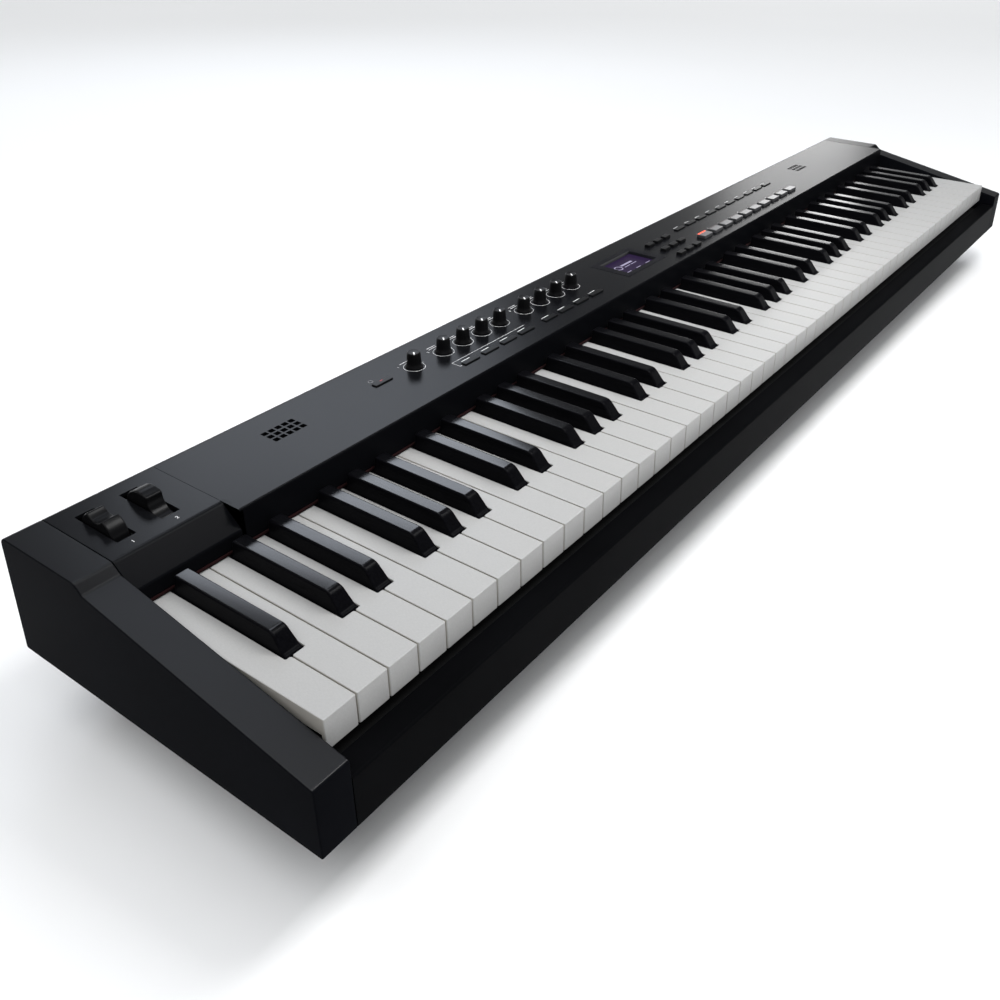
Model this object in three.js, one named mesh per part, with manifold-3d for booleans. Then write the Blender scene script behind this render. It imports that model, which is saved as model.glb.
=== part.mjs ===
import * as THREE from "three";
import { ConvexGeometry } from "three/addons/geometries/ConvexGeometry.js";
import { mergeVertices } from "three/addons/utils/BufferGeometryUtils.js";
import Module from "manifold-3d";

// A stage piano with 88 weighted keys, two wheels and a control panel. Sizes are in millimetres.
// +X is to the player's right, the front faces -Y and +Z is up.
// Inside the casing group, x is counted from the left end, y from the front face and z from
// the casing's visible lower edge.

// Casing: its width follows from the keys, its depth from the keys' length and the panel
const panelFront = 170;
const panelDepth = 100;
const casingHeight = 89.6;
const rearLean = 9;
const rearCornerRadius = 5.5;
const rearCornerSteps = 4;
const wall = 2.5;
const fit = 0.3;
const overrun = 2;
const deckSkirt = 18.1;

// Cheeks: the end pieces beside the keys
const cheekThickness = 24.6;
const cheekWall = 3;
const cheekNoseDrop = 13.5;
const cheekNoseRadius = 1.6;
const cheekPocketHeight = 34;

// Control deck: wheel deck on the left, panel on the rest
const wheelDeckWidth = 101;
const wheelDeckSetback = 16;
const deckSlopeRun = 6.7;
const deckSlopeDrop = 6.2;
const lipRise = 2.5;

// Key slip: the rail in front of the keys
const slipGap = 4.5;
const slipDepth = 17;
const slipFlange = 14;
const slipHook = 12;
const slipEdge = 1.2;

// Rear wall
const rearFlange = 14;

// Base tray and feet
const trayDepth = 46;
const trayWall = 3;
const trayRimSideInset = 5;
const trayRimFrontInset = 8;
const trayRimRearInset = 7;
const trayFloorSideInset = 30;
const trayFloorFrontInset = 42;
const trayFloorRearInset = 22;
const footHeight = 10;
const footRadius = 16;
const footTaper = 2;
const footSideInset = 96;
const footFrontInset = 72;
const footRearInset = 54;
const footSegments = 20;

// Keys
const whiteKeyCount = 52;
const keyPitch = 23.6;
const keyGap = 0.9;
const keyEndGap = 1.8;
const keyFront = 19.6;
const keyTopDrop = 27.1;
const whiteKeyHeight = 21.5;
const whiteHeadLength = 49.6;
const keyLip = 3;
const keyBody = 12;
const keyHeel = 10;
const keyStepInset = 6;
const keyRearInset = 30;
const keyRailDepth = 14;
const whiteTailDrop = 12.5;
const keyDip = 10;
const keyLayerGap = 0.8;
const blackHeight = 12;
const blackSkirt = 15;
const blackBaseWidth = 12.8;
const blackTopWidth = 9.6;
const blackBevel = 0.9;
const blackNoseRun = 12.5;
const blackHeelRun = 0.8;
const blackRoof = 0.5;
const blackClearance = 0.6;
const blackTailWidth = 9;
const blackTailThickness = 5.2;
const sharpOuterOffset = 2.8;
const sharpInnerOffset = 2.4;

// Key frame, its stop felt and the name felt
const frameSheet = 2;
const frameClearance = 1.2;
const frameRailDepth = 29;
const frameRailLip = 12;
const frameSideInset = 10;
const frameGuideFront = 128;
const frameGuideGap = 1;
const frameRiserInset = 48;
const frameSeatGap = 0.8;
const frameFlangeDepth = 20;
const stopFeltThickness = 2.5;
const nameFeltDepth = 5;
const nameFeltProud = 1.5;
const nameFeltGap = 0.6;
const blackEndGap = 1.5;

// Wheels and their bracket
const wheelRadius = 17.2;
const wheelWidth = 11.5;
const wheelAxisDrop = 7;
const wheelAxisInset = 48;
const wheelOneX = 43.6;
const wheelTwoX = 74;
const wheelSlotWidth = 12.8;
const wheelSlotLength = 44;
const wheelNotchRadius = 9.8;
const wheelNotchReach = 21.8;
const wheelTwoRestAngle = 52;
const wheelSegments = 48;
const notchSegments = 32;
const axleRadius = 3;
const axleClearance = 0.3;
const axleReach = 3.6;
const earThickness = 4.5;
const earGap = 1;
const earDepth = 20;
const bracketPlate = 2.5;
const bracketDrop = 24.6;
const bracketDepth = 35;

// Speakers and their vents
const ventLeftShare = 0.14484375;
const ventRightShare = 0.8440625;
const ventInset = 44.6;
const ventColumns = 5;
const ventRows = 3;
const ventPitchX = 6;
const ventPitchY = 6.2;
const ventHole = 4.6;
const speakerRadius = 26;
const speakerFlange = 2.5;
const basketRadius = 21;
const basketDepth = 13;
const magnetRadius = 14;
const magnetDepth = 9;
const speakerSegments = 28;

// Knobs
const knobRowInset = 48.8;
const knobFirstShare = 0.246796875;
const knobPitchShare = 0.019375;
const knobGroupShare = 0.027578125;
const knobSkirtRadius = 7.2;
const knobSkirtHeight = 1.6;
const knobWaistHeight = 2.6;
const knobRadius = 5.9;
const knobTopRadius = 5.3;
const knobHeight = 13;
const knobShaftRadius = 3;
const knobShaftClearance = 0.4;
const knobSegments = 20;

// Buttons: slim ones by the knobs and at the rear, square keys and wide pads on the right
const slimWidth = 18.5;
const slimDepth = 5.3;
const slimHeight = 1.1;
const slimRowInset = 22;
const powerShare = 0.219375;
const powerInset = 47.7;
const rearRowInset = 46;
const rearRowFirstShare = 0.588671875;
const rowPitchShare = 0.01953125;
const rowCount = 10;
const padWidth = 18.2;
const padDepth = 10.6;
const padHeight = 3;
const padRowInset = 19.5;
const padRowFirstShare = 0.584765625;
const clusterShare = 0.533359375;
const clusterInset = 12.1;
const clusterPitchShare = 0.013125;
const clusterPitchY = 19.4;
const clusterCount = 3;
const clusterButtonWidth = 12;
const clusterButtonDepth = 6.6;
const clusterButtonHeight = 2.6;
const buttonFlange = 1;
const buttonFlangeThickness = 1.2;
const buttonTravel = 0.8;
const buttonStem = 3;
const stripBarWidth = 3.2;

// Display
const bezelShare = 0.490234375;
const bezelInset = 43;
const bezelWidth = 73;
const bezelDepth = 47;
const bezelRise = 0.2;
const windowWidth = 55;
const windowDepth = 34;
const windowChamfer = 1.4;
const moduleWidth = 66;
const moduleDepth = 42;

// Main board
const boardLeftShare = 0.2046875;
const boardRightShare = 0.7859375;
const boardFrontInset = 9;
const boardRearInset = 20;
const boardThickness = 1.6;
const boardDrop = 7.1;
const potSide = 10;
const potHeight = 4;
const postRadius = 2.6;
const postSegments = 10;
const postRowInset = 27;
const postShares = [0.02, 0.2, 0.4, 0.6, 0.8, 0.98];

// Rear sockets, on a board of their own
const socketFirstX = 330;
const socketPitch = 30;
const socketDrop = 14;
const socketBodyWidth = 16;
const socketBodyDepth = 29;
const socketBodyHeight = 14;
const socketFloor = 4;
const jackRadius = 3.3;
const jackCount = 5;
const jackWindowRadius = 5.4;
const inletRadius = 4.6;
const inletWindowRadius = 6.2;
const inletPinRadius = 1.1;
const usbWidth = 9.4;
const usbHeight = 8.6;
const usbWindowMargin = 0.8;
const socketBoardMargin = 5;
const roundSegments = 20;

// Places that follow from the sizes above
const casingWidth = whiteKeyCount * keyPitch + 2 * (cheekThickness + keyEndGap);
const casingDepth = panelFront + panelDepth;
const standHeight = trayDepth + footHeight;
const rearTop = casingDepth - rearLean;
const leanTopHeight = casingHeight - rearCornerRadius;
const deckUnderside = casingHeight - wall;
const rearSeamHeight = casingHeight - deckSkirt;
const wheelDeckFront = panelFront + wheelDeckSetback;
const keyTop = casingHeight - keyTopDrop;
const lipBottom = keyTop + lipRise;
const cheekNoseHeight = keyTop - cheekNoseDrop;
const slopeRate = deckSlopeRun / deckSlopeDrop;
const cheekKinkY = wheelDeckFront - deckSlopeRun;
const cheekKinkZ = casingHeight - deckSlopeDrop;
const slopeFootZ = casingHeight - (wheelDeckFront - panelFront) / slopeRate;
const innerLeft = cheekThickness + fit;
const innerRight = casingWidth - cheekThickness - fit;
const keysLeft = cheekThickness + keyEndGap;
const keyUnderside = keyTop - whiteKeyHeight;
const slipHeight = keyUnderside - slipGap;
const whiteTailTop = keyTop - whiteTailDrop;
const socketHeight = keyUnderside - socketDrop;
const keyStep = panelFront + keyStepInset;
const keyRear = casingDepth - keyRearInset;
const keyRailFront = keyRear - keyRailDepth;
const blackTailBottom = whiteTailTop + keyLayerGap;
const blackTailTop = blackTailBottom + blackTailThickness;
const blackNotchHalf = blackBaseWidth / 2 + blackClearance;
const boardTop = deckUnderside - boardDrop;
const trayFloorTop = trayWall - trayDepth;
const frameFront = slipDepth + frameClearance;
const stopFeltTop = keyUnderside - keyDip - fit;
const stopFeltBottom = stopFeltTop - stopFeltThickness;
const frameRailTop = stopFeltBottom - fit;
const frameGuideTop = keyUnderside - frameGuideGap;
const frameRiserFront = casingDepth - frameRiserInset;
const wheelAxisY = casingDepth - wheelAxisInset;
const wheelAxisHeight = casingHeight - wheelAxisDrop;
const bracketPlateHeight = wheelAxisHeight - bracketDrop;

// The controls' places keep their shares of the width
const ventLeftX = ventLeftShare * casingWidth;
const ventRightX = ventRightShare * casingWidth;
const ventY = casingDepth - ventInset;
const knobFirstX = knobFirstShare * casingWidth;
const knobPitch = knobPitchShare * casingWidth;
const knobGroupGap = knobGroupShare * casingWidth;
const knobRowY = casingDepth - knobRowInset;
const slimRowY = panelFront + slimRowInset;
const powerX = powerShare * casingWidth;
const powerY = casingDepth - powerInset;
const rearRowFirstX = rearRowFirstShare * casingWidth;
const rearRowY = casingDepth - rearRowInset;
const rowPitch = rowPitchShare * casingWidth;
const padRowFirstX = padRowFirstShare * casingWidth;
const padRowY = panelFront + padRowInset;
const clusterX = clusterShare * casingWidth;
const clusterY = panelFront + clusterInset;
const clusterPitchX = clusterPitchShare * casingWidth;
const bezelX = bezelShare * casingWidth;
const bezelY = panelFront + bezelInset;
const boardLeft = boardLeftShare * casingWidth;
const boardRight = boardRightShare * casingWidth;
const boardFront = panelFront + boardFrontInset;
const boardRear = casingDepth - boardRearInset;
const postRowY = casingDepth - postRowInset;

const rearAt = (z) => casingDepth - (rearLean * z) / leanTopHeight;
const socketRear = rearAt(socketHeight + socketBodyHeight / 2) - wall - fit;

const wasm = await Module();
wasm.setup();

const hex = (color, roughness, metalness) => new THREE.MeshStandardMaterial({ color, roughness, metalness });
const casingBlack = hex(0x16171b, 0.42, 0);
const panelBlack = hex(0x1b1c20, 0.38, 0);
const keyWhite = hex(0xe4e4e6, 0.3, 0);
const keyBlack = hex(0x15161a, 0.35, 0);
const controlBlack = hex(0x101113, 0.4, 0);
const padGrey = hex(0x3a3b3f, 0.35, 0);
const feltRed = hex(0x3a0d10, 0.95, 0);
const feltBlack = hex(0x141416, 0.95, 0);
const sheetSteel = hex(0x9a9c9f, 0.4, 0.9);
const boardGreen = hex(0x1d4a2c, 0.6, 0);
const rubberBlack = hex(0x0e0e0e, 0.9, 0);
const screenViolet = hex(0x3a2f66, 0.2, 0);
const bezelGloss = hex(0x0b0b0d, 0.12, 0);
const speakerGrey = hex(0x2b2c2e, 0.6, 0.3);

// Shapes

function solid(geometry) {
  const bare = geometry.index ? geometry.toNonIndexed() : geometry.clone();
  bare.deleteAttribute("normal");
  bare.deleteAttribute("uv");
  const merged = mergeVertices(bare, fit / 1000);
  return new wasm.Manifold(
    new wasm.Mesh({
      numProp: 3,
      vertProperties: new Float32Array(merged.attributes.position.array),
      triVerts: new Uint32Array(merged.index.array),
    }),
  );
}

function geometryOf(manifold) {
  const made = manifold.getMesh();
  const positions = new Float32Array(made.numVert * 3);
  for (let i = 0; i < made.numVert; i++) {
    const start = i * made.numProp;
    positions.set(made.vertProperties.subarray(start, start + 3), i * 3);
  }
  const geometry = new THREE.BufferGeometry();
  geometry.setAttribute("position", new THREE.BufferAttribute(positions, 3));
  geometry.setIndex(new THREE.BufferAttribute(made.triVerts, 1));
  geometry.computeVertexNormals();
  return geometry;
}

function block([x0, x1], [y0, y1], [z0, z1]) {
  const geometry = new THREE.BoxGeometry(x1 - x0, y1 - y0, z1 - z0);
  return solid(geometry.translate((x0 + x1) / 2, (y0 + y1) / 2, (z0 + z1) / 2));
}

// A block that is centred on x = 0.
function across(width, ys, zs) {
  return block([-width / 2, width / 2], ys, zs);
}

// A block that is centred on the Z axis.
function centred(width, depth, zs) {
  return across(width, [-depth / 2, depth / 2], zs);
}

// A prism along X whose section is a list of [y, z] points.
function alongX(section, x0, x1) {
  const shape = new THREE.Shape(section.map(([y, z]) => new THREE.Vector2(y, z)));
  const geometry = new THREE.ExtrudeGeometry(shape, { depth: x1 - x0, bevelEnabled: false });
  const turn = new THREE.Matrix4().makeBasis(
    new THREE.Vector3(0, 1, 0),
    new THREE.Vector3(0, 0, 1),
    new THREE.Vector3(1, 0, 0),
  );
  return solid(geometry.applyMatrix4(turn).translate(x0, 0, 0));
}

// A turned solid about Z from a profile of [radius, z] points, listed upwards.
function turned(profile, segments) {
  const points = profile.map(([r, z]) => new THREE.Vector2(r, z));
  return solid(new THREE.LatheGeometry(points, segments).rotateX(Math.PI / 2));
}

function cylinder(radius, z0, z1, segments) {
  return turned([[0, z0], [radius, z0], [radius, z1], [0, z1]], segments);
}

function cylinderAlongY(radius, y0, y1, segments) {
  const geometry = new THREE.CylinderGeometry(radius, radius, y1 - y0, segments);
  return solid(geometry.translate(0, (y0 + y1) / 2, 0));
}

function cylinderAlongX(radius, x0, x1, segments) {
  const geometry = new THREE.CylinderGeometry(radius, radius, x1 - x0, segments);
  return solid(geometry.rotateZ(-Math.PI / 2).translate((x0 + x1) / 2, 0, 0));
}

function join(pieces) {
  return pieces.reduce((whole, piece) => whole.add(piece));
}

function cut(body, cutters) {
  return cutters.reduce((left, cutter) => left.subtract(cutter), body);
}

function arc(centreY, centreZ, radius, fromAngle, toAngle, steps) {
  return Array.from({ length: steps + 1 }, (_, i) => {
    const angle = fromAngle + ((toAngle - fromAngle) * i) / steps;
    return [centreY + radius * Math.cos(angle), centreZ + radius * Math.sin(angle)];
  });
}

const casing = new THREE.Group();

function place(name, manifold, material, [x, y, z] = [0, 0, 0]) {
  const mesh = new THREE.Mesh(geometryOf(manifold), material);
  mesh.name = name;
  mesh.position.set(x, y, z);
  casing.add(mesh);
  return mesh;
}

// Casing

const rearCornerTop = [rearTop - rearCornerRadius, leanTopHeight];
const outerRearArc = arc(...rearCornerTop, rearCornerRadius, Math.PI / 2, 0, rearCornerSteps);

// The inner side of a sheet whose outer side is an open outline listed from the front.
function innerSide(outline, thickness) {
  const normals = outline.slice(1).map(([y, z], i) => {
    const [y0, z0] = outline[i];
    const length = Math.hypot(y - y0, z - z0);
    return [(z - z0) / length, (y0 - y) / length];
  });
  return outline.map(([y, z], i) => {
    const before = normals[Math.max(i - 1, 0)];
    const after = normals[Math.min(i, normals.length - 1)];
    const reach = thickness / (1 + before[0] * after[0] + before[1] * after[1]);
    return [y + reach * (before[0] + after[0]), z + reach * (before[1] + after[1])];
  });
}

// The folded sheet of a deck: front lip, top, rounded rear corner and a short rear skirt.
function deckSection(front) {
  const outline = [...front, ...outerRearArc, [rearAt(rearSeamHeight), rearSeamHeight]];
  return [...outline, ...innerSide(outline, wall).toReversed()];
}

const panelFrontOutline = [
  [panelFront, lipBottom],
  [panelFront, casingHeight],
];
const wheelFrontOutline = [
  [panelFront, lipBottom],
  [panelFront, slopeFootZ],
  [wheelDeckFront, casingHeight],
];

const cheekSection = [
  [0, 0],
  [casingDepth, 0],
  ...outerRearArc.toReversed(),
  [wheelDeckFront, casingHeight],
  [cheekKinkY, cheekKinkZ],
  ...arc(cheekNoseRadius, cheekNoseHeight - cheekNoseRadius, cheekNoseRadius, Math.PI / 2, Math.PI, 3),
];

// The hollow inside a cheek, open towards the keys only where the mechanism hides it.
const cheekPocketSection = [
  [cheekWall, cheekWall],
  [rearAt(cheekWall) - cheekWall, cheekWall],
  [rearTop - cheekWall, leanTopHeight],
  [rearTop - rearCornerRadius, casingHeight - cheekWall],
  [wheelDeckFront + 2 * cheekWall, casingHeight - cheekWall],
  [cheekKinkY + 2 * cheekWall, cheekKinkZ - 2 * cheekWall],
  [cheekKinkY + 2 * cheekWall, cheekPocketHeight],
  [cheekWall, cheekPocketHeight],
];

function wheelSlot(x) {
  const halfWidth = wheelSlotWidth / 2;
  const halfLength = wheelSlotLength / 2;
  return block(
    [x - halfWidth, x + halfWidth],
    [wheelAxisY - halfLength, wheelAxisY + halfLength],
    [deckUnderside - overrun, casingHeight + overrun],
  );
}

const leftPocket = alongX(cheekPocketSection, cheekWall, cheekThickness + overrun);
place("left_cheek", alongX(cheekSection, 0, cheekThickness).subtract(leftPocket), casingBlack);

const rightPocket = alongX(
  cheekPocketSection,
  casingWidth - cheekThickness - overrun,
  casingWidth - cheekWall,
);
const rightBoard = alongX(cheekSection, casingWidth - cheekThickness, casingWidth);
place("right_cheek", rightBoard.subtract(rightPocket), casingBlack);

const wheelDeck = alongX(deckSection(wheelFrontOutline), innerLeft, wheelDeckWidth);
place("wheel_panel", cut(wheelDeck, [wheelSlot(wheelOneX), wheelSlot(wheelTwoX)]), panelBlack);

const slipSection = [
  [0, 0],
  [slipFlange, 0],
  [slipFlange, wall],
  [wall, wall],
  [wall, slipHeight - wall],
  [slipDepth - wall, slipHeight - wall],
  [slipDepth - wall, slipHeight - slipHook],
  [slipDepth, slipHeight - slipHook],
  [slipDepth, slipHeight],
  [slipEdge, slipHeight],
  [0, slipHeight - slipEdge],
];
place("key_slip", alongX(slipSection, innerLeft, innerRight), casingBlack);

const rearWallTop = rearSeamHeight - 2 * fit;
const rearWallSection = [
  [casingDepth - rearFlange, 0],
  [casingDepth, 0],
  [rearAt(rearWallTop), rearWallTop],
  [rearAt(rearWallTop) - wall, rearWallTop],
  [rearAt(wall) - wall, wall],
  [casingDepth - rearFlange, wall],
];

const jackXs = Array.from({ length: jackCount }, (_, i) => socketFirstX + i * socketPitch);
const usbX = socketFirstX + jackCount * socketPitch;
const inletX = usbX + socketPitch;
const windowYs = [rearTop - wall - overrun, casingDepth + overrun];

function rectAt(x, z, width, height, [y0, y1]) {
  return block([x - width / 2, x + width / 2], [y0, y1], [z - height / 2, z + height / 2]);
}

function roundAt(x, z, radius, [y0, y1]) {
  return cylinderAlongY(radius, y0, y1, roundSegments).translate([x, 0, z]);
}

const rearWindows = [
  ...jackXs.map((x) => roundAt(x, socketHeight, jackWindowRadius, windowYs)),
  rectAt(usbX, socketHeight, usbWidth + 2 * usbWindowMargin, usbHeight + 2 * usbWindowMargin, windowYs),
  roundAt(inletX, socketHeight, inletWindowRadius, windowYs),
];
place("rear_panel", cut(alongX(rearWallSection, innerLeft, innerRight), rearWindows), casingBlack);

// Base tray: a shallow bowl with sloping walls, open at the top.
function frustum(rimInset, floorInset, inward, floorZ, rimZ) {
  const ring = (inset, z) => {
    const left = inset.side + inward;
    const right = casingWidth - inset.side - inward;
    const front = inset.front + inward;
    const rear = casingDepth - inset.rear - inward;
    return [
      new THREE.Vector3(left, front, z),
      new THREE.Vector3(right, front, z),
      new THREE.Vector3(right, rear, z),
      new THREE.Vector3(left, rear, z),
    ];
  };
  return solid(new ConvexGeometry([...ring(rimInset, rimZ), ...ring(floorInset, floorZ)]));
}

const trayRim = { side: trayRimSideInset, front: trayRimFrontInset, rear: trayRimRearInset };
const trayFloor = { side: trayFloorSideInset, front: trayFloorFrontInset, rear: trayFloorRearInset };
const trayOuter = frustum(trayRim, trayFloor, 0, -trayDepth, -fit);
const trayInner = frustum(trayRim, trayFloor, trayWall, trayFloorTop, overrun);
place("base_tray", trayOuter.subtract(trayInner), casingBlack);

const footProfile = [
  [0, 0],
  [footRadius - footTaper, 0],
  [footRadius, footTaper],
  [footRadius, footHeight],
  [0, footHeight],
];
const foot = turned(footProfile, footSegments);
const footPlaces = {
  foot_front_left: [footSideInset, footFrontInset],
  foot_front_right: [casingWidth - footSideInset, footFrontInset],
  foot_rear_left: [footSideInset, casingDepth - footRearInset],
  foot_rear_right: [casingWidth - footSideInset, casingDepth - footRearInset],
};
for (const [name, [x, y]] of Object.entries(footPlaces)) place(name, foot, rubberBlack, [x, y, -standHeight]);

// Control panel

const throughDeck = [deckUnderside - overrun, casingHeight + overrun];

function deckHole(x, y, width, depth) {
  return block([x - width / 2, x + width / 2], [y - depth / 2, y + depth / 2], throughDeck);
}

const knobXs = [
  knobFirstX,
  ...[1, 2].flatMap((group) =>
    [0, 1, 2, 3].map((i) => knobFirstX + group * knobGroupGap + (group * 3 - 3 + i) * knobPitch),
  ),
];
const slimXs = knobXs.slice(1);
const rowXs = (first) => Array.from({ length: rowCount }, (_, i) => first + i * rowPitch);
const rearRowXs = rowXs(rearRowFirstX);
const padXs = rowXs(padRowFirstX);
const clusterXs = Array.from({ length: clusterCount }, (_, i) => clusterX + i * clusterPitchX);
const clusterYs = Array.from({ length: clusterCount }, (_, i) => clusterY + i * clusterPitchY);

const slimHoleWidth = slimWidth + 2 * fit;
const slimHoleDepth = slimDepth + 2 * fit;
const ventXs = [ventLeftX, ventRightX];
const ventCentreColumn = (ventColumns - 1) / 2;
const ventCentreRow = (ventRows - 1) / 2;
const ventHoles = ventXs.flatMap((ventX) =>
  Array.from({ length: ventColumns * ventRows }, (_, i) => {
    const column = (i % ventColumns) - ventCentreColumn;
    const row = Math.floor(i / ventColumns) - ventCentreRow;
    return deckHole(ventX + column * ventPitchX, ventY + row * ventPitchY, ventHole, ventHole);
  }),
);
const clusterHoles = clusterYs.flatMap((y) =>
  clusterXs.map((x) => deckHole(x, y, clusterButtonWidth + 2 * fit, clusterButtonDepth + 2 * fit)),
);
const panelHoles = [
  ...ventHoles,
  ...clusterHoles,
  ...slimXs.map((x) => deckHole(x, slimRowY, slimHoleWidth, slimHoleDepth)),
  ...rearRowXs.map((x) => deckHole(x, rearRowY, slimHoleWidth, slimHoleDepth)),
  ...padXs.map((x) => deckHole(x, padRowY, padWidth + 2 * fit, padDepth + 2 * fit)),
  deckHole(powerX, powerY, slimHoleWidth, slimHoleDepth),
  deckHole(bezelX, bezelY, bezelWidth + 2 * fit, bezelDepth + 2 * fit),
  ...knobXs.map((x) =>
    cylinder(knobShaftRadius + knobShaftClearance, ...throughDeck, postSegments).translate([x, knobRowY, 0]),
  ),
];

const panelLeft = wheelDeckWidth + fit;
const [lipInner, slopeFootInner, deckInner] = innerSide(wheelFrontOutline, wall);
const endCapSection = [
  [panelFront, lipBottom],
  lipInner,
  slopeFootInner,
  deckInner,
  [deckInner[0], casingHeight],
  [panelFront, casingHeight],
];
const boardLength = boardRight - boardLeft;
const posts = postShares.map((share) =>
  cylinder(postRadius, boardTop + fit, deckUnderside + wall / 2, postSegments).translate([
    boardLeft + share * boardLength,
    postRowY,
    0,
  ]),
);
const panelSheet = alongX(deckSection(panelFrontOutline), panelLeft, innerRight);
const panelEndCap = alongX(endCapSection, panelLeft, panelLeft + wall);
place("top_panel", cut(join([panelSheet, panelEndCap, ...posts]), panelHoles), panelBlack);

const bezelBottom = deckUnderside;
const bezelTop = casingHeight + bezelRise;
const bezelPlate = centred(bezelWidth, bezelDepth, [bezelBottom - casingHeight, bezelRise]);

// The window widens upwards by its chamfer.
function windowCutter() {
  const depth = bezelTop - bezelBottom;
  const rate = windowChamfer / depth;
  const ring = (z, grow) =>
    [-1, 1].flatMap((sx) =>
      [-1, 1].map((sy) => {
        const x = sx * (windowWidth / 2 - windowChamfer + grow);
        const y = sy * (windowDepth / 2 - windowChamfer + grow);
        return new THREE.Vector3(x, y, z);
      }),
    );
  const lowest = bezelBottom - casingHeight - overrun;
  const highest = bezelRise + overrun;
  return solid(
    new ConvexGeometry([...ring(lowest, -overrun * rate), ...ring(highest, (depth + overrun) * rate)]),
  );
}
place("display_bezel", bezelPlate.subtract(windowCutter()), bezelGloss, [bezelX, bezelY, casingHeight]);
place(
  "display_module",
  centred(moduleWidth, moduleDepth, [boardTop + fit, bezelBottom - fit]),
  screenViolet,
  [bezelX, bezelY, 0],
);

const boardPlate = block(
  [boardLeft, boardRight],
  [boardFront, boardRear],
  [boardTop - boardThickness, boardTop],
);
const pots = knobXs.map((x) =>
  block(
    [x - potSide / 2, x + potSide / 2],
    [knobRowY - potSide / 2, knobRowY + potSide / 2],
    [boardTop - boardThickness / 2, boardTop + potHeight],
  ),
);
place("main_board", join([boardPlate, ...pots]), boardGreen);

const knobFoot = boardTop + potHeight + fit - casingHeight;
const knobProfile = [
  [0, knobFoot],
  [knobShaftRadius, knobFoot],
  [knobShaftRadius, fit],
  [knobSkirtRadius, fit],
  [knobSkirtRadius, knobSkirtHeight],
  [knobRadius, knobWaistHeight],
  [knobTopRadius + (knobRadius - knobTopRadius) / 2, knobHeight - (knobRadius - knobTopRadius)],
  [knobTopRadius, knobHeight],
  [0, knobHeight],
];
const knob = turned(knobProfile, knobSegments);
knobXs.forEach((x, i) => place(`knob_${i + 1}`, knob, controlBlack, [x, knobRowY, casingHeight]));

// A push button: its cap comes up through the panel, a flange below keeps it in and a stem
// reaches down to its switch.
const flangeTop = -wall - fit;
const flangeBottom = flangeTop - buttonFlangeThickness;
const stemBottom = boardTop - casingHeight + buttonTravel + fit;

function buttonCap(width, depth, height) {
  return [
    centred(width, depth, [flangeBottom, height]),
    centred(width + 2 * buttonFlange, depth + 2 * buttonFlange, [flangeBottom, flangeTop]),
    centred(buttonStem, buttonStem, [stemBottom, flangeTop]),
  ];
}

const slimButton = join(buttonCap(slimWidth, slimDepth, slimHeight));
place("power_button", slimButton, controlBlack, [powerX, powerY, casingHeight]);
slimXs.forEach((x, i) =>
  place(`slim_button_${i + 1}`, slimButton, controlBlack, [x, slimRowY, casingHeight]),
);

// A row of caps moulded on one bar, which lies under the panel.
function buttonStrip(xs, width, depth, height) {
  const first = xs[0];
  const last = xs[xs.length - 1];
  const barYs = [-stripBarWidth / 2, stripBarWidth / 2];
  const bar = block([0, last - first], barYs, [flangeBottom, flangeTop]);
  const caps = xs.flatMap((x) => buttonCap(width, depth, height).map((s) => s.translate([x - first, 0, 0])));
  return join([bar, ...caps]);
}

place(
  "rear_button_strip",
  buttonStrip(rearRowXs, slimWidth, slimDepth, slimHeight),
  controlBlack,
  [rearRowFirstX, rearRowY, casingHeight],
);
place(
  "pad_button_strip",
  buttonStrip(padXs, padWidth, padDepth, padHeight),
  padGrey,
  [padRowFirstX, padRowY, casingHeight],
);
const clusterStrip = buttonStrip(clusterXs, clusterButtonWidth, clusterButtonDepth, clusterButtonHeight);
clusterYs.forEach((y, i) =>
  place(`cursor_button_strip_${i + 1}`, clusterStrip, controlBlack, [clusterX, y, casingHeight]),
);

// Wheels

function wheel(restAngle) {
  const disc = cylinderAlongX(wheelRadius, -wheelWidth / 2, wheelWidth / 2, wheelSegments);
  const angle = THREE.MathUtils.degToRad(restAngle);
  const notchY = -wheelNotchReach * Math.sin(angle);
  const notchZ = wheelNotchReach * Math.cos(angle);
  const notch = cylinderAlongX(
    wheelNotchRadius,
    -wheelWidth / 2 - overrun,
    wheelWidth / 2 + overrun,
    notchSegments,
  ).translate([0, notchY, notchZ]);
  const axleHalf = wheelWidth / 2 + earGap + axleReach;
  const axle = cylinderAlongX(axleRadius, -axleHalf, axleHalf, roundSegments);
  return disc.subtract(notch).add(axle);
}
place("wheel_1", wheel(0), controlBlack, [wheelOneX, wheelAxisY, wheelAxisHeight]);
place("wheel_2", wheel(wheelTwoRestAngle), controlBlack, [wheelTwoX, wheelAxisY, wheelAxisHeight]);

const earStart = wheelWidth / 2 + earGap;
const earYs = [wheelAxisY - earDepth / 2, wheelAxisY + earDepth / 2];
const earZs = [bracketPlateHeight + bracketPlate / 2, deckUnderside - fit];
const ears = [wheelOneX, wheelTwoX].flatMap((x) => [
  block([x - earStart - earThickness, x - earStart], earYs, earZs),
  block([x + earStart, x + earStart + earThickness], earYs, earZs),
]);
const bracketEnds = [
  wheelOneX - earStart - earThickness,
  wheelTwoX + earStart + earThickness,
];
const bracketBase = block(
  bracketEnds,
  [wheelAxisY - bracketDepth / 2, wheelAxisY + bracketDepth / 2],
  [bracketPlateHeight, bracketPlateHeight + bracketPlate],
);
const axleBore = cylinderAlongX(
  axleRadius + axleClearance,
  bracketEnds[0] - overrun,
  bracketEnds[1] + overrun,
  roundSegments,
).translate([0, wheelAxisY, wheelAxisHeight]);
place("wheel_bracket", join([bracketBase, ...ears]).subtract(axleBore), sheetSteel);

// Speakers

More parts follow.
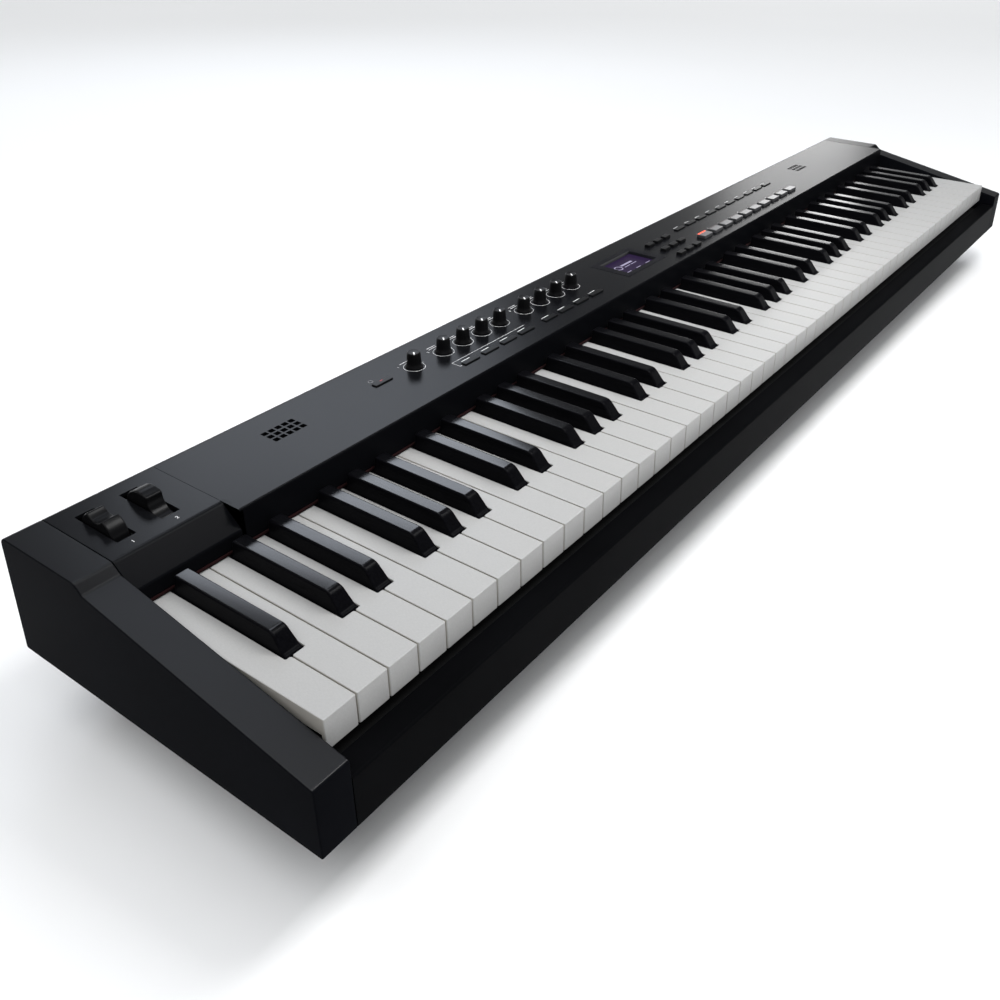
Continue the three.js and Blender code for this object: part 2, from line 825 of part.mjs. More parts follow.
const speakerTop = deckUnderside - fit;
const speakerProfile = [
  [0, speakerTop - speakerFlange - basketDepth - magnetDepth],
  [magnetRadius, speakerTop - speakerFlange - basketDepth - magnetDepth],
  [magnetRadius, speakerTop - speakerFlange - basketDepth],
  [basketRadius, speakerTop - speakerFlange],
  [speakerRadius, speakerTop - speakerFlange],
  [speakerRadius, speakerTop],
  [0, speakerTop],
];
const speaker = turned(speakerProfile, speakerSegments);
place("speaker_left", speaker, speakerGrey, [ventLeftX, ventY, 0]);
place("speaker_right", speaker, speakerGrey, [ventRightX, ventY, 0]);

// Rear sockets

const socketBodyYs = [socketRear - socketBodyDepth, socketRear];
const socketBoreYs = [socketRear - socketBodyDepth + socketFloor, socketRear + overrun];
const socketXs = [...jackXs, usbX, inletX];
const socketBodyBottom = socketHeight - socketBodyHeight / 2;
const socketBodies = socketXs.map((x) =>
  rectAt(x, socketHeight, socketBodyWidth, socketBodyHeight, socketBodyYs),
);
const socketBoardPlate = block(
  [socketFirstX - socketBodyWidth / 2 - socketBoardMargin, inletX + socketBodyWidth / 2 + socketBoardMargin],
  [socketBodyYs[0] - socketBoardMargin, socketRear - fit],
  [socketBodyBottom - boardThickness, socketBodyBottom],
);
const socketBores = [
  ...jackXs.map((x) => roundAt(x, socketHeight, jackRadius, socketBoreYs)),
  rectAt(usbX, socketHeight, usbWidth, usbHeight, socketBoreYs),
  roundAt(inletX, socketHeight, inletRadius, socketBoreYs),
];
const inletPin = roundAt(inletX, socketHeight, inletPinRadius, [socketBodyYs[0] + fit, socketRear - fit]);
place(
  "socket_board",
  cut(join([socketBoardPlate, ...socketBodies]), socketBores).add(inletPin),
  boardGreen,
);

// Key frame and felts

const railYs = [frameFront, frameFront + frameRailDepth];
const railBackYs = [railYs[1] - frameSheet, railYs[1]];
const riserYs = [frameRiserFront, frameRiserFront + frameSheet];
const seatTop = keyUnderside - frameSeatGap;
const frameDeckBottom = trayFloorTop + fit;
const frameWalls = [
  [[railYs[0], railYs[0] + frameSheet], [frameRailTop - frameRailLip, frameRailTop]],
  [railYs, [frameRailTop - frameSheet, frameRailTop]],
  [railBackYs, [frameDeckBottom, frameRailTop]],
  [[railBackYs[0], riserYs[1]], [frameDeckBottom, frameDeckBottom + frameSheet]],
  [[frameGuideFront, frameGuideFront + frameSheet], [frameDeckBottom, frameGuideTop]],
  [riserYs, [frameDeckBottom, seatTop]],
  [[frameRiserFront, frameRiserFront + frameFlangeDepth], [seatTop - frameSheet, seatTop]],
];
const frameXs = [cheekThickness + frameSideInset, casingWidth - cheekThickness - frameSideInset];
place("key_frame", join(frameWalls.map(([ys, zs]) => block(frameXs, ys, zs))), sheetSteel);

place("stop_felt", block(frameXs, railYs, [stopFeltBottom, stopFeltTop]), feltBlack);
const nameFeltYs = [panelFront - nameFeltProud, panelFront - nameFeltProud + nameFeltDepth];
place(
  "name_felt",
  block([innerLeft + fit, innerRight - fit], nameFeltYs, [keyTop + nameFeltGap, lipBottom - fit]),
  feltRed,
);

// Keys

const letters = "ABCDEFG";
const letterOf = (index) => letters[index % letters.length];
const sharpOffsetsByLetter = {
  A: sharpOuterOffset,
  C: -sharpInnerOffset,
  D: sharpInnerOffset,
  F: -sharpOuterOffset,
  G: 0,
};
const setStarts = [0, 9, 16, 23, 30, 37, 44, whiteKeyCount];
const headRear = keyFront + whiteHeadLength;
const sharpX = (index) => (index + 1) * keyPitch + sharpOffsetsByLetter[letterOf(index)];
const sharps = Array.from({ length: whiteKeyCount - 1 }, (_, i) => i).filter(
  (i) => letterOf(i) in sharpOffsetsByLetter,
);

const whiteProfile = [
  [keyFront, keyUnderside],
  [keyFront + keyLip, keyUnderside],
  [keyFront + keyLip, keyTop - keyBody],
  [keyStep - keyHeel, keyTop - keyBody],
  [keyStep - keyHeel, keyUnderside],
  [keyRear, keyUnderside],
  [keyRear, whiteTailTop],
  [keyStep, whiteTailTop],
  [keyStep, keyTop],
  [keyFront, keyTop],
];
const notchZs = [keyUnderside - overrun, keyTop + overrun];

function whiteSet(first, end) {
  const whites = Array.from({ length: end - first }, (_, i) => {
    const left = (first + i) * keyPitch;
    return alongX(whiteProfile, left + keyGap / 2, left + keyPitch - keyGap / 2);
  });
  const notches = sharps
    .filter((index) => index >= first - 1 && index < end)
    .map((index) => {
      const x = sharpX(index);
      return block([x - blackNotchHalf, x + blackNotchHalf], [headRear, keyRailFront], notchZs);
    });
  const rail = block(
    [first * keyPitch + keyGap / 2, end * keyPitch - keyGap / 2],
    [keyRailFront, keyRear],
    [keyUnderside, whiteTailTop],
  );
  return cut(join(whites), notches).add(rail);
}

const blackFront = headRear + blackClearance;
const blackEnd = panelFront - nameFeltProud - blackEndGap;
const blackBodyTop = keyTop - blackRoof;

function rectangle(width, y0, y1, z) {
  return [-width / 2, width / 2].flatMap((x) => [new THREE.Vector3(x, y0, z), new THREE.Vector3(x, y1, z)]);
}

const blackTop = keyTop + blackHeight;
const capFront = blackFront + blackNoseRun;
const blackCap = solid(
  new ConvexGeometry([
    ...rectangle(blackBaseWidth, blackFront, blackEnd, blackBodyTop),
    ...rectangle(blackTopWidth, capFront - blackBevel, blackEnd - blackHeelRun, blackTop - blackBevel),
    ...rectangle(
      blackTopWidth - 2 * blackBevel,
      capFront + blackBevel,
      blackEnd - blackHeelRun - blackBevel,
      blackTop,
    ),
  ]),
);
const blackBody = across(blackBaseWidth, [blackFront, keyStep], [keyTop - blackSkirt, blackBodyTop]);
const blackTail = across(blackTailWidth, [keyStep - keyHeel, keyRear], [blackTailBottom, blackTailTop]);
const blackKey = join([blackBody, blackCap, blackTail]);

function blackSet(first, end) {
  const xs = sharps.filter((index) => index >= first && index < end).map(sharpX);
  const rail = block(
    [xs[0] - blackTailWidth / 2, xs[xs.length - 1] + blackTailWidth / 2],
    [keyRailFront, keyRear],
    [blackTailBottom, blackTailTop],
  );
  return join([rail, ...xs.map((x) => blackKey.translate([x, 0, 0]))]);
}

setStarts.slice(0, -1).forEach((first, i) => {
  const end = setStarts[i + 1];
  place(`white_keys_${i + 1}`, whiteSet(first, end), keyWhite, [keysLeft, 0, 0]);
  place(`black_keys_${i + 1}`, blackSet(first, end), keyBlack, [keysLeft, 0, 0]);
});

// The finished part stands on its feet with its origin at the middle of its underside.
casing.position.set(-casingWidth / 2, -casingDepth / 2, standHeight);
const piano = new THREE.Group();
piano.add(casing);

export default piano;
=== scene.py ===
import math

import bmesh
import bpy
from mathutils import Matrix, Vector


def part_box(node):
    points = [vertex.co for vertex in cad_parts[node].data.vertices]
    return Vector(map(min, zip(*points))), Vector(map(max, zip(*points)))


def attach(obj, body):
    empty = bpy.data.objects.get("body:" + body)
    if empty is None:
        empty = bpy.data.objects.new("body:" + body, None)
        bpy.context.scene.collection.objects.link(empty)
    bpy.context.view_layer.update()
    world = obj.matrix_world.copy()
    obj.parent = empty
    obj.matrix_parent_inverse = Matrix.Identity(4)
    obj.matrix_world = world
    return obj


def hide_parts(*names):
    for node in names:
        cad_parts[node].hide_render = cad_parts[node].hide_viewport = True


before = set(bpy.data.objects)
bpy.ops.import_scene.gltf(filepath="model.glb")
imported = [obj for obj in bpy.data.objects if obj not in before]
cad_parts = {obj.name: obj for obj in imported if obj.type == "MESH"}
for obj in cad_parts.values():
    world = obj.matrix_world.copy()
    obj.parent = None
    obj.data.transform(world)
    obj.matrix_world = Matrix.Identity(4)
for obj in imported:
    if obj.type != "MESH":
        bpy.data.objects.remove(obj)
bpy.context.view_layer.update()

# Lengths are in metres. MM turns the small sizes of the instrument's parts into metres.
MM = 0.001

# The casing's corners
cheek_low, cheek_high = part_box("left_cheek")
far_cheek_low, far_cheek_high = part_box("right_cheek")
left, front, base = cheek_low
right, rear, top = far_cheek_high
casing_height = top - base

# Sizes of the casing
REAR_LEAN = 9 * MM
REAR_CORNER = 5.5 * MM
WALL = 2.5 * MM
OVERRUN = 2 * MM
NOSE_HEIGHT = 49 * MM
DECK_FRONT = 186 * MM
DECK_KINK = 179.3 * MM
DECK_DROP = 6.2 * MM
PANEL_FRONT = 170 * MM
LIP_BOTTOM = 65 * MM
SLOPE_FOOT = 74.79 * MM
REAR_SEAM = 71.5 * MM

# Sizes of the keys
KEY_PITCH = 23.6 * MM
KEY_GAP = 0.9 * MM
WHITE_COUNT = 52
KEY_BODY = 12 * MM
KEY_LIP = 3 * MM
KEY_EDGE = 0.55 * MM
HEAD_LENGTH = 49.6 * MM
KEY_STEP = 176 * MM
KEY_HEEL = 10 * MM
RAIL_DEPTH = 14 * MM
TAIL_TOP = 50 * MM
NOTCH_HALF = 7 * MM
BLACK_WIDTH = 12.8 * MM
BLACK_TOP_WIDTH = 10.4 * MM
BLACK_NOSE = 12.5 * MM
BLACK_TAIL_WIDTH = 9 * MM
BLACK_TAIL_TOP = 56 * MM
BLACK_END = 167 * MM
CROWN_DEPTH = 8 * MM
SHARP_OFFSETS = {"A": 2.8 * MM, "C": -2.4 * MM, "D": 2.4 * MM, "F": -2.8 * MM, "G": 0}
SET_STARTS = [0, 9, 16, 23, 30, 37, 44, WHITE_COUNT]
KEY_SETS = list(enumerate(zip(SET_STARTS, SET_STARTS[1:]), 1))


# Modelling tools


def deselect():
    """Leaves edit mode and selects nothing."""
    if bpy.context.object and bpy.context.object.mode != "OBJECT":
        bpy.ops.object.mode_set(mode="OBJECT")
    bpy.ops.object.select_all(action="DESELECT")


def take(piece):
    """Makes a piece the only selected one."""
    deselect()
    piece.select_set(True)
    bpy.context.view_layer.objects.active = piece


def named(name):
    """Names the new primitive and settles its place into its mesh."""
    piece = bpy.context.object
    piece.name = piece.data.name = name
    bpy.ops.object.transform_apply(location=True, rotation=True, scale=True)
    return piece


def settle(thing, **settings):
    """Sets several settings of one thing."""
    for setting, value in settings.items():
        setattr(thing, setting, value)


def everything(element):
    """The test that every part of a mesh passes."""
    return True


def edit(piece, kind, test, *steps):
    """Selects the vertices, edges or faces that pass a test, and runs edit operators on them."""
    take(piece)
    bpy.ops.object.mode_set(mode="EDIT")
    bpy.ops.mesh.select_mode(type=kind)
    bpy.ops.mesh.select_all(action="DESELECT")
    mesh = bmesh.from_edit_mesh(piece.data)
    for element in {"VERT": mesh.verts, "EDGE": mesh.edges, "FACE": mesh.faces}[kind]:
        if test(element):
            element.select_set(True)
    mesh.select_flush_mode()
    bmesh.update_edit_mesh(piece.data)
    for step in steps:
        step()
    bpy.ops.object.mode_set(mode="OBJECT")
    return piece


def modify(piece, kind, **settings):
    """Adds a modifier and applies it."""
    take(piece)
    modifier = piece.modifiers.new(kind.title(), kind)
    settle(modifier, **settings)
    bpy.ops.object.modifier_apply(modifier=modifier.name)


def soften(piece, width, segments=3, angle=40):
    """Rounds every edge that is sharper than an angle."""
    modify(
        piece,
        "BEVEL",
        width=width,
        segments=segments,
        limit_method="ANGLE",
        angle_limit=math.radians(angle),
    )


def extrude(piece, test, shift):
    """Pulls the faces that pass a test out of a piece."""
    edit(
        piece,
        "FACE",
        test,
        lambda: bpy.ops.mesh.extrude_region_move(TRANSFORM_OT_translate={"value": shift}),
    )


def outward(piece):
    """Merges doubles and turns every face outwards."""
    return edit(
        piece,
        "VERT",
        everything,
        lambda: bpy.ops.mesh.remove_doubles(threshold=0.001 * MM),
        lambda: bpy.ops.mesh.normals_make_consistent(inside=False),
    )


def block(name, low, high):
    """A box between two corners."""
    low, high = Vector(low), Vector(high)
    deselect()
    bpy.ops.mesh.primitive_cube_add(size=1, location=(low + high) / 2, scale=high - low)
    return named(name)


def swing(start, end):
    """The angle from one arm to another, counted to the left."""
    return math.atan2(start.x * end.y - start.y * end.x, start.dot(end))


def arc(centre, arm, turn, steps):
    """Points round a centre, where the tip of an arm comes to in even steps of a turn."""
    return [centre + Matrix.Rotation(turn * i / steps, 2) @ arm for i in range(steps + 1)]


def rounded(points, radii, steps=4):
    """A closed outline with its corners rounded, each to its own radius."""
    outline = []
    for i, (corner, radius) in enumerate(zip(points, radii)):
        here = Vector(corner)
        if radius == 0:
            outline.append(here)
            continue
        back = (Vector(points[i - 1]) - here).normalized()
        ahead = (Vector(points[(i + 1) % len(points)]) - here).normalized()
        half = back.angle(ahead) / 2
        centre = here + (back + ahead).normalized() * radius / math.sin(half)
        start = here + back * radius / math.tan(half) - centre
        end = here + ahead * radius / math.tan(half) - centre
        outline += arc(centre, start, swing(start, end), steps)
    return outline


def inner_side(path, thickness):
    """The inner side of a sheet, a thickness to the right of its outer path."""
    inner = []
    for i, point in enumerate(path):
        before = (point - path[i - 1]).normalized() if i else None
        after = (path[i + 1] - point).normalized() if i < len(path) - 1 else None
        before, after = before or after, after or before
        sum_of_normals = Vector((before.y + after.y, -before.x - after.x))
        inner.append(point + sum_of_normals * thickness / (1 + before.dot(after)))
    return inner


def mm(*points):
    """Points in millimetres, turned into metres."""
    return [(across * MM, along * MM) for across, along in points]


AXES = {"X": (1, 2, 0), "Y": (0, 2, 1), "Z": (0, 1, 2)}


def spot(axis, first, second, along):
    """A point from its two coordinates across an axis, in X, Y, Z order, and the one along it."""
    point = Vector((0, 0, 0))
    for place, value in zip(AXES[axis], (first, second, along)):
        point[place] = value
    return point


def drawn(name, points, fill):
    """A closed outline through points, filled with a face or left open."""
    deselect()
    bpy.ops.mesh.primitive_circle_add(vertices=len(points), radius=MM, fill_type=fill)
    piece = named(name)
    for vertex, point in zip(piece.data.vertices, points):
        vertex.co = point
    return piece


def slab(name, outline, start, end, axis="X"):
    """A prism along an axis, from an outline in the two other coordinates."""
    piece = drawn(name, [spot(axis, *point, start) for point in outline], "NGON")
    extrude(piece, everything, spot(axis, 0, 0, end - start))
    return outward(piece)


def turned(name, profile, centre, steps=32, axis="Z", ring=False):
    """A solid turned about an axis. Its profile lists (radius, height), closed for a ring."""
    points = [Vector(centre) + spot(axis, radius, 0, height) for radius, height in profile]
    piece = drawn(name, points, "NOTHING")
    last = len(profile) - 1
    if not ring:
        edit(
            piece,
            "EDGE",
            lambda edge: {vertex.index for vertex in edge.verts} == {0, last},
            lambda: bpy.ops.mesh.delete(type="EDGE"),
        )
    direction = spot(axis, 0, 0, 1)
    edit(
        piece,
        "VERT",
        everything,
        lambda: bpy.ops.mesh.spin(steps=steps, angle=2 * math.pi, center=centre, axis=direction),
    )
    return outward(piece)


def copy_to(piece, name, shift):
    """A copy of a piece with its own mesh, moved."""
    twin = piece.copy()
    twin.data = piece.data.copy()
    twin.name = twin.data.name = name
    bpy.context.collection.objects.link(twin)
    twin.data.transform(Matrix.Translation(shift))
    return twin


def row_of(piece, name, shifts):
    """A piece and its moved copies."""
    return [piece, *(copy_to(piece, name, shift) for shift in shifts)]


def discard(piece):
    """Removes a piece that only served as a pattern or a cutter."""
    bpy.data.objects.remove(piece, do_unlink=True)


def join(name, pieces):
    """Makes several pieces one object."""
    deselect()
    for piece in pieces:
        piece.select_set(True)
    bpy.context.view_layer.objects.active = pieces[0]
    if len(pieces) > 1:
        bpy.ops.object.join()
    whole = bpy.context.view_layer.objects.active
    whole.name = whole.data.name = name
    return whole


def carve(piece, cutters):
    """Cuts pieces out of a piece."""
    tool = join("cutter", cutters)
    modify(piece, "BOOLEAN", operation="DIFFERENCE", object=tool, solver="EXACT")
    discard(tool)


def dress(piece, look, body, slot, *nodes, angle=35):
    """Gives a piece its material, shading and body, and hides the frame's nodes it stands for; the
    slot is not used.
    """
    piece.data.materials.clear()
    piece.data.materials.append(look)
    take(piece)
    bpy.ops.object.shade_smooth_by_angle(angle=math.radians(angle))
    modify(piece, "WEIGHTED_NORMAL", keep_sharp=True)
    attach(piece, body)
    if nodes:
        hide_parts(*nodes)


# Materials


class Signal:
    """One output of a material's nodes, which can stand in an expression."""

    def __init__(self, look, socket):
        self.look = look
        self.socket = socket

    def combine(self, operation, other):
        """The outcome of a maths operation with another signal or a number."""
        return self.look.node("ShaderNodeMath", {"operation": operation}, {0: self, 1: other})

    def __add__(self, other):
        return self.combine("ADD", other)

    def __mul__(self, other):
        return self.combine("MULTIPLY", other)

    def __pow__(self, other):
        return self.combine("POWER", other)

    def __gt__(self, other):
        return self.combine("GREATER_THAN", other)

    __radd__ = __add__
    __rmul__ = __mul__


def set_stops(ramp, stops):
    """Gives a colour ramp two stops, each a position and a colour."""
    for element, (position, colour) in zip(ramp.elements, stops):
        element.position = position
        element.color = (*colour, 1)


class Look:
    """A material built on one Principled BSDF."""

    def __init__(self, name, specular=0.5, **uniform):
        self.material = bpy.data.materials.new(name)
        self.material.use_nodes = True
        self.tree = self.material.node_tree
        self.surface = self.tree.nodes["Principled BSDF"]
        self.surface.inputs["Specular IOR Level"].default_value = specular
        for socket, value in uniform.items():
            self.surface.inputs[socket.replace("_", " ")].default_value = value
        self.place = self.node("ShaderNodeTexCoord", {}, {}, "Object")
        self.normal = self.node("ShaderNodeTexCoord", {}, {}, "Normal")

    def node(self, kind, settings, inputs, output=0):
        """Any node, from its settings and the values or links of its sockets."""
        made = self.tree.nodes.new(kind)
        for setting, value in settings.items():
            if setting == "stops":
                set_stops(made.color_ramp, value)
            else:
                setattr(made, setting, value)
        for socket, value in inputs.items():
            self.feed(made.inputs[socket], value)
        return Signal(self, made.outputs[output])

    def feed(self, socket, value):
        """Links a signal to a socket, or sets its plain value."""
        if isinstance(value, Signal):
            self.tree.links.new(value.socket, socket)
        else:
            socket.default_value = value

    def noise(self, scale, detail=2.0, roughness=0.5, stretch=(1, 1, 1)):
        """Noise on the object's coordinates, from 0 to 1."""
        place = self.node("ShaderNodeMapping", {}, {"Vector": self.place, "Scale": stretch})
        return self.node(
            "ShaderNodeTexNoise",
            {},
            {"Vector": place, "Scale": scale, "Detail": detail, "Roughness": roughness},
        )

    def grid(self, scale, mortar, width, offset=0.0):
        """A mask of thin lines between the cells of a grid."""
        return self.node(
            "ShaderNodeTexBrick",
            {"offset": offset},
            {"Vector": self.place, "Scale": scale, "Mortar Size": mortar, "Brick Width": width},
            "Fac",
        )

    def part(self, vector, axis):
        """One coordinate of a place or a direction."""
        return self.node("ShaderNodeSeparateXYZ", {}, {0: vector}, axis)

    def facing_up(self, sharpness):
        """1 on faces that look up, fading to 0 on slopes and walls."""
        return self.part(self.normal, "Z").combine("MAXIMUM", 0.0) ** sharpness

    def ramp(self, factor, stops):
        """A colour between two stops."""
        return self.node("ShaderNodeValToRGB", {"stops": stops}, {"Fac": factor})

    def blend(self, factor, first, second):
        """Mixes two colours."""
        return self.node(
            "ShaderNodeMix",
            {"data_type": "RGBA"},
            {0: factor, 6: first, 7: second},
            2,
        )

    def set(self, socket, value):
        """Feeds one socket of the surface."""
        self.feed(self.surface.inputs[socket], value)

    def bump(self, height, distance, strength=1.0):
        """Relief from a signal, as deep as a distance."""
        self.set(
            "Normal",
            self.node(
                "ShaderNodeBump",
                {},
                {"Height": height, "Distance": distance, "Strength": strength},
            ),
        )


def shade(colour, factor):
    """A colour, lighter or darker by a factor."""
    return tuple(min(1, factor * part) for part in colour)


def moulded(name, colour, rough, grain=2600, depth=0.02 * MM, specular=0.5, rubbed=0):
    """Moulded plastic: a fine spark-eroded grain, uneven gloss, and faces that hands rub smooth."""
    look = Look(name, specular, Coat_Roughness=rough)
    cloud = look.noise(14, 3)
    fine = look.noise(grain, 2)
    tone = look.ramp(cloud, [(0.3, shade(colour, 0.82)), (0.7, shade(colour, 1.18))])
    look.set("Base Color", tone)
    look.set("Roughness", rough - 0.05 + 0.06 * cloud + 0.05 * fine)
    look.bump(fine, depth, 0.5)
    if rubbed:
        look.set("Coat Weight", rubbed * look.facing_up(6.0))
    return look.material


def painted_panel():
    """Satin paint on the control panel, with a fine orange peel."""
    look = Look("satin_panel_paint", specular=0.006, Coat_Roughness=0.27)
    peel = look.noise(900, 2)
    cloud = look.noise(6, 3)
    tone = look.ramp(cloud, [(0.3, (0.0028, 0.003, 0.0038)), (0.7, (0.004, 0.0042, 0.0052))])
    look.set("Base Color", tone)
    look.set("Roughness", 0.27 + 0.06 * cloud + 0.03 * peel)
    look.set("Coat Weight", (0.46 + 0.1 * cloud) * look.facing_up(10.0))
    look.bump(peel, 0.012 * MM, 0.4)
    return look.material


def white_key_plastic():
    """Ivory-feel key tops: fine streaks along each key and a slightly warmer tone in the pores,
    with painted shade: a warmer colour on the key sides that stands in for the shaded gaps between
    keys.
    """
    look = Look("ivory_feel_white", IOR=1.49, specular=0.25)
    streaks = look.noise(1500, 3, 0.6, (1, 0.35, 0.5))
    cloud = look.noise(9, 2)
    tone = look.ramp(streaks, [(0.35, (0.375, 0.374, 0.371)), (0.65, (0.405, 0.404, 0.4))])
    top_tone = look.blend(0.3 * cloud, tone, (0.38, 0.37, 0.352, 1))
    # Painted shade: faces turned sideways, the key walls that face the neighbouring keys, get a
    # warmer colour that stands in for the shaded gaps between the keys.
    across = look.part(look.normal, "X")
    painted_gap_shade = across * across
    look.set("Base Color", look.blend(painted_gap_shade * painted_gap_shade, top_tone, (0.42, 0.4, 0.365, 1)))
    look.set("Roughness", 0.27 + 0.1 * streaks)
    look.bump(streaks, 0.015 * MM, 0.5)
    return look.material


def black_key_plastic():
    """Ebony-feel black keys: a satin face with long fine streaks."""
    look = Look("ebony_feel_black", specular=0.02, Coat_Roughness=0.16, Coat_IOR=1.75)
    streaks = look.noise(1100, 3, 0.6, (1, 0.04, 1))
    tone = look.ramp(streaks, [(0.3, (0.0018, 0.0018, 0.0024)), (0.7, (0.004, 0.004, 0.005))])
    look.set("Base Color", tone)
    look.set("Roughness", 0.24 + 0.1 * streaks)
    crown = look.part(look.place, "Z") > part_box("black_keys_1")[1].z - CROWN_DEPTH
    look.set("Coat Weight", (0.75 + 0.25 * streaks) * crown * look.facing_up(30.0))
    look.bump(streaks, 0.02 * MM, 0.5)
    return look.material


def grained(name, grain, dark, light, rough=None, relief=0, spread=(0.3, 0.7), **uniform):
    """A finish whose tone, roughness and relief all follow one noise."""
    look = Look(name, **uniform)
    fine = look.noise(*grain)
    look.set("Base Color", look.ramp(fine, [(spread[0], dark), (spread[1], light)]))
    if rough:
        look.set("Roughness", rough[0] + rough[1] * fine)
    if relief:
        look.bump(fine, relief)
    return look.material


def felt(name, colour):
    """Pressed felt: fibres of uneven tone with a soft nap."""
    return grained(
        name,
        (2400, 4, 0.7),
        shade(colour, 0.5),
        shade(colour, 1.5),
        relief=0.25 * MM,
        Sheen_Weight=0.05,
        Roughness=0.95,
        specular=0.1,
    )


def plating(name, colour):
    """Bright plating on sockets and screws."""
    return grained(name, (1200, 2), shade(colour, 0.8), colour, (0.22, 0.14), Metallic=1.0)


def circuit_board():
    """Green solder mask with paler tracks."""
    look = Look("circuit_board", specular=0.6)
    tracks = look.grid(180.0, 0.03, 1.7, 0.37)
    tone = look.blend(tracks, (0.01, 0.09, 0.035, 1), (0.03, 0.16, 0.06, 1))
    look.set("Base Color", tone)
    look.set("Roughness", 0.35 + 0.2 * tracks)
    look.bump(tracks, 0.04 * MM)
    return look.material


def screen_glow(name, dark, light, strength):
    """A lit part of the display: a faint grid of pixels in one hue."""
    look = Look(name, Roughness=0.25, Emission_Strength=strength, specular=0.1)
    pixels = look.grid(1800.0, 0.08, 0.5)
    cloud = look.noise(40, 1)
    look.set("Base Color", look.blend(pixels, (*shade(dark, 0.5), 1), (*shade(dark, 0.3), 1)))
    glow = look.blend(0.35 * pixels + 0.2 * cloud, (*light, 1), (*dark, 1))
    look.set("Emission Color", glow)
    return look.material


def lamp_window(name, colour, strength):
    """A plastic lamp window with an uneven glow."""
    look = Look(name, Roughness=0.35, Emission_Strength=strength)
    cloud = look.noise(260, 2)
    glow = look.ramp(cloud, [(0.15, shade(colour, 0.6)), (0.65, colour)])
    look.set("Base Color", glow)
    look.set("Emission Color", glow)
    return look.material


casing_black = moulded("satin_casing", (0.0035, 0.0038, 0.005), 0.34, specular=0.0025, rubbed=0.72)
slip_black = moulded("satin_slip", (0.0025, 0.0026, 0.003), 0.36, specular=0.004)
tray_black = moulded("matt_tray", (0.006, 0.006, 0.0065), 0.62, 1500, 0.05 * MM, specular=0.12)
rear_black = moulded("satin_rear_wall", (0.0055, 0.0058, 0.007), 0.4, specular=0.12)
control_black = moulded(
    "control_black", (0.0035, 0.0035, 0.004), 0.3, grain=3200, specular=0.08, rubbed=0.22
)
pad_grey = moulded("pad_grey", (0.05, 0.05, 0.053), 0.3, grain=3600, rubbed=0.6)
wheel_black = moulded("wheel_black", (0.004, 0.004, 0.0045), 0.26, grain=2800, specular=0.1)
socket_black = moulded("socket_black", (0.011, 0.011, 0.012), 0.45)
panel_black = painted_panel()
key_white = white_key_plastic()
key_black = black_key_plastic()
felt_red = felt("dark_red_felt", (0.011, 0.0012, 0.0015))
felt_black = felt("black_felt", (0.004, 0.004, 0.0042))
foot_black = grained(
    "foot_rubber",
    (1500, 3),
    (0.012, 0.012, 0.012),
    (0.024, 0.024, 0.023),
    (0.75, 0.15),
    0.04 * MM,
    specular=0.3,
)
steel = grained(
    "zinc_plated_steel",
    (700, 2, 0.5, (0.02, 1, 1)),
    (0.36, 0.37, 0.38),
    (0.55, 0.56, 0.57),
    (0.3, 0.2),
    Metallic=1.0,
)
frame_black = moulded("black_frame_paint", (0.004, 0.004, 0.0042), 0.5, specular=0.2)
nickel = plating("bright_nickel", (0.72, 0.71, 0.68))
screw_black = plating("black_screw", (0.06, 0.06, 0.065))
board_green = circuit_board()
cone_black = grained(
    "speaker_paper",
    (900, 4),
    (0.006, 0.006, 0.0065),
    (0.014, 0.014, 0.015),
    (0.7, 0.2),
    0.1 * MM,
    specular=0.3,
)
bezel_black = grained(
    "gloss_black_frame",
    (60, 2),
    (0.006, 0.006, 0.008),
    (0.009, 0.009, 0.011),
    (0.16, 0.06),
    specular=0.1,
    Coat_Weight=0.12,
)
screen_violet = screen_glow("screen_violet", (0.02, 0.01, 0.036), (0.04, 0.026, 0.075), 0.5)
screen_lavender = screen_glow("screen_lavender", (0.3, 0.27, 0.4), (0.5, 0.46, 0.62), 0.6)
ink_white = grained(
    "white_ink",
    (2000, 3),
    (0.675, 0.675, 0.675),
    (0.9, 0.9, 0.9),
    (0.45, 0.15),
    spread=(0.3, 0.55),
    specular=0.3,
)
lamp_red = lamp_window("red_lamp", (0.85, 0.08, 0.03), 1.3)
lamp_dark = lamp_window("dark_lamp_window", (0.02, 0.006, 0.006), 0.02)
power_lamp = lamp_window("power_lamp", (0.3, 0.02, 0.03), 0.3)


def middle(node):
    """The middle of a node's box, seen from above."""
    low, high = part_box(node)
    return (low.x + high.x) / 2, (low.y + high.y) / 2


# Casing


def rear_at(height):
    """The rear wall's place at a height above the casing's lower edge."""
    return rear - REAR_LEAN * height / (casing_height - REAR_CORNER)


def cheek(name, x0, x1, node):
    """An end cheek: its top line rises behind the nose and steps up to the deck."""
    corners = [
        (front, base),
        (rear, base),
        (rear - REAR_LEAN, top),
        (front + DECK_FRONT, top),
        (front + DECK_KINK, top - DECK_DROP),
        (front, base + NOSE_HEIGHT),
    ]
    radii = [1.2 * MM, 1.5 * MM, REAR_CORNER, 5 * MM, 5 * MM, 2.2 * MM]
    piece = slab(name, rounded(corners, radii, 6), x0, x1)
    soften(piece, 0.8 * MM, 3, 60)
    dress(piece, casing_black, "case", "casing", node)


cheek("cheek_left_shell", left, cheek_high.x, "left_cheek")
cheek("cheek_right_shell", far_cheek_low.x, right, "right_cheek")


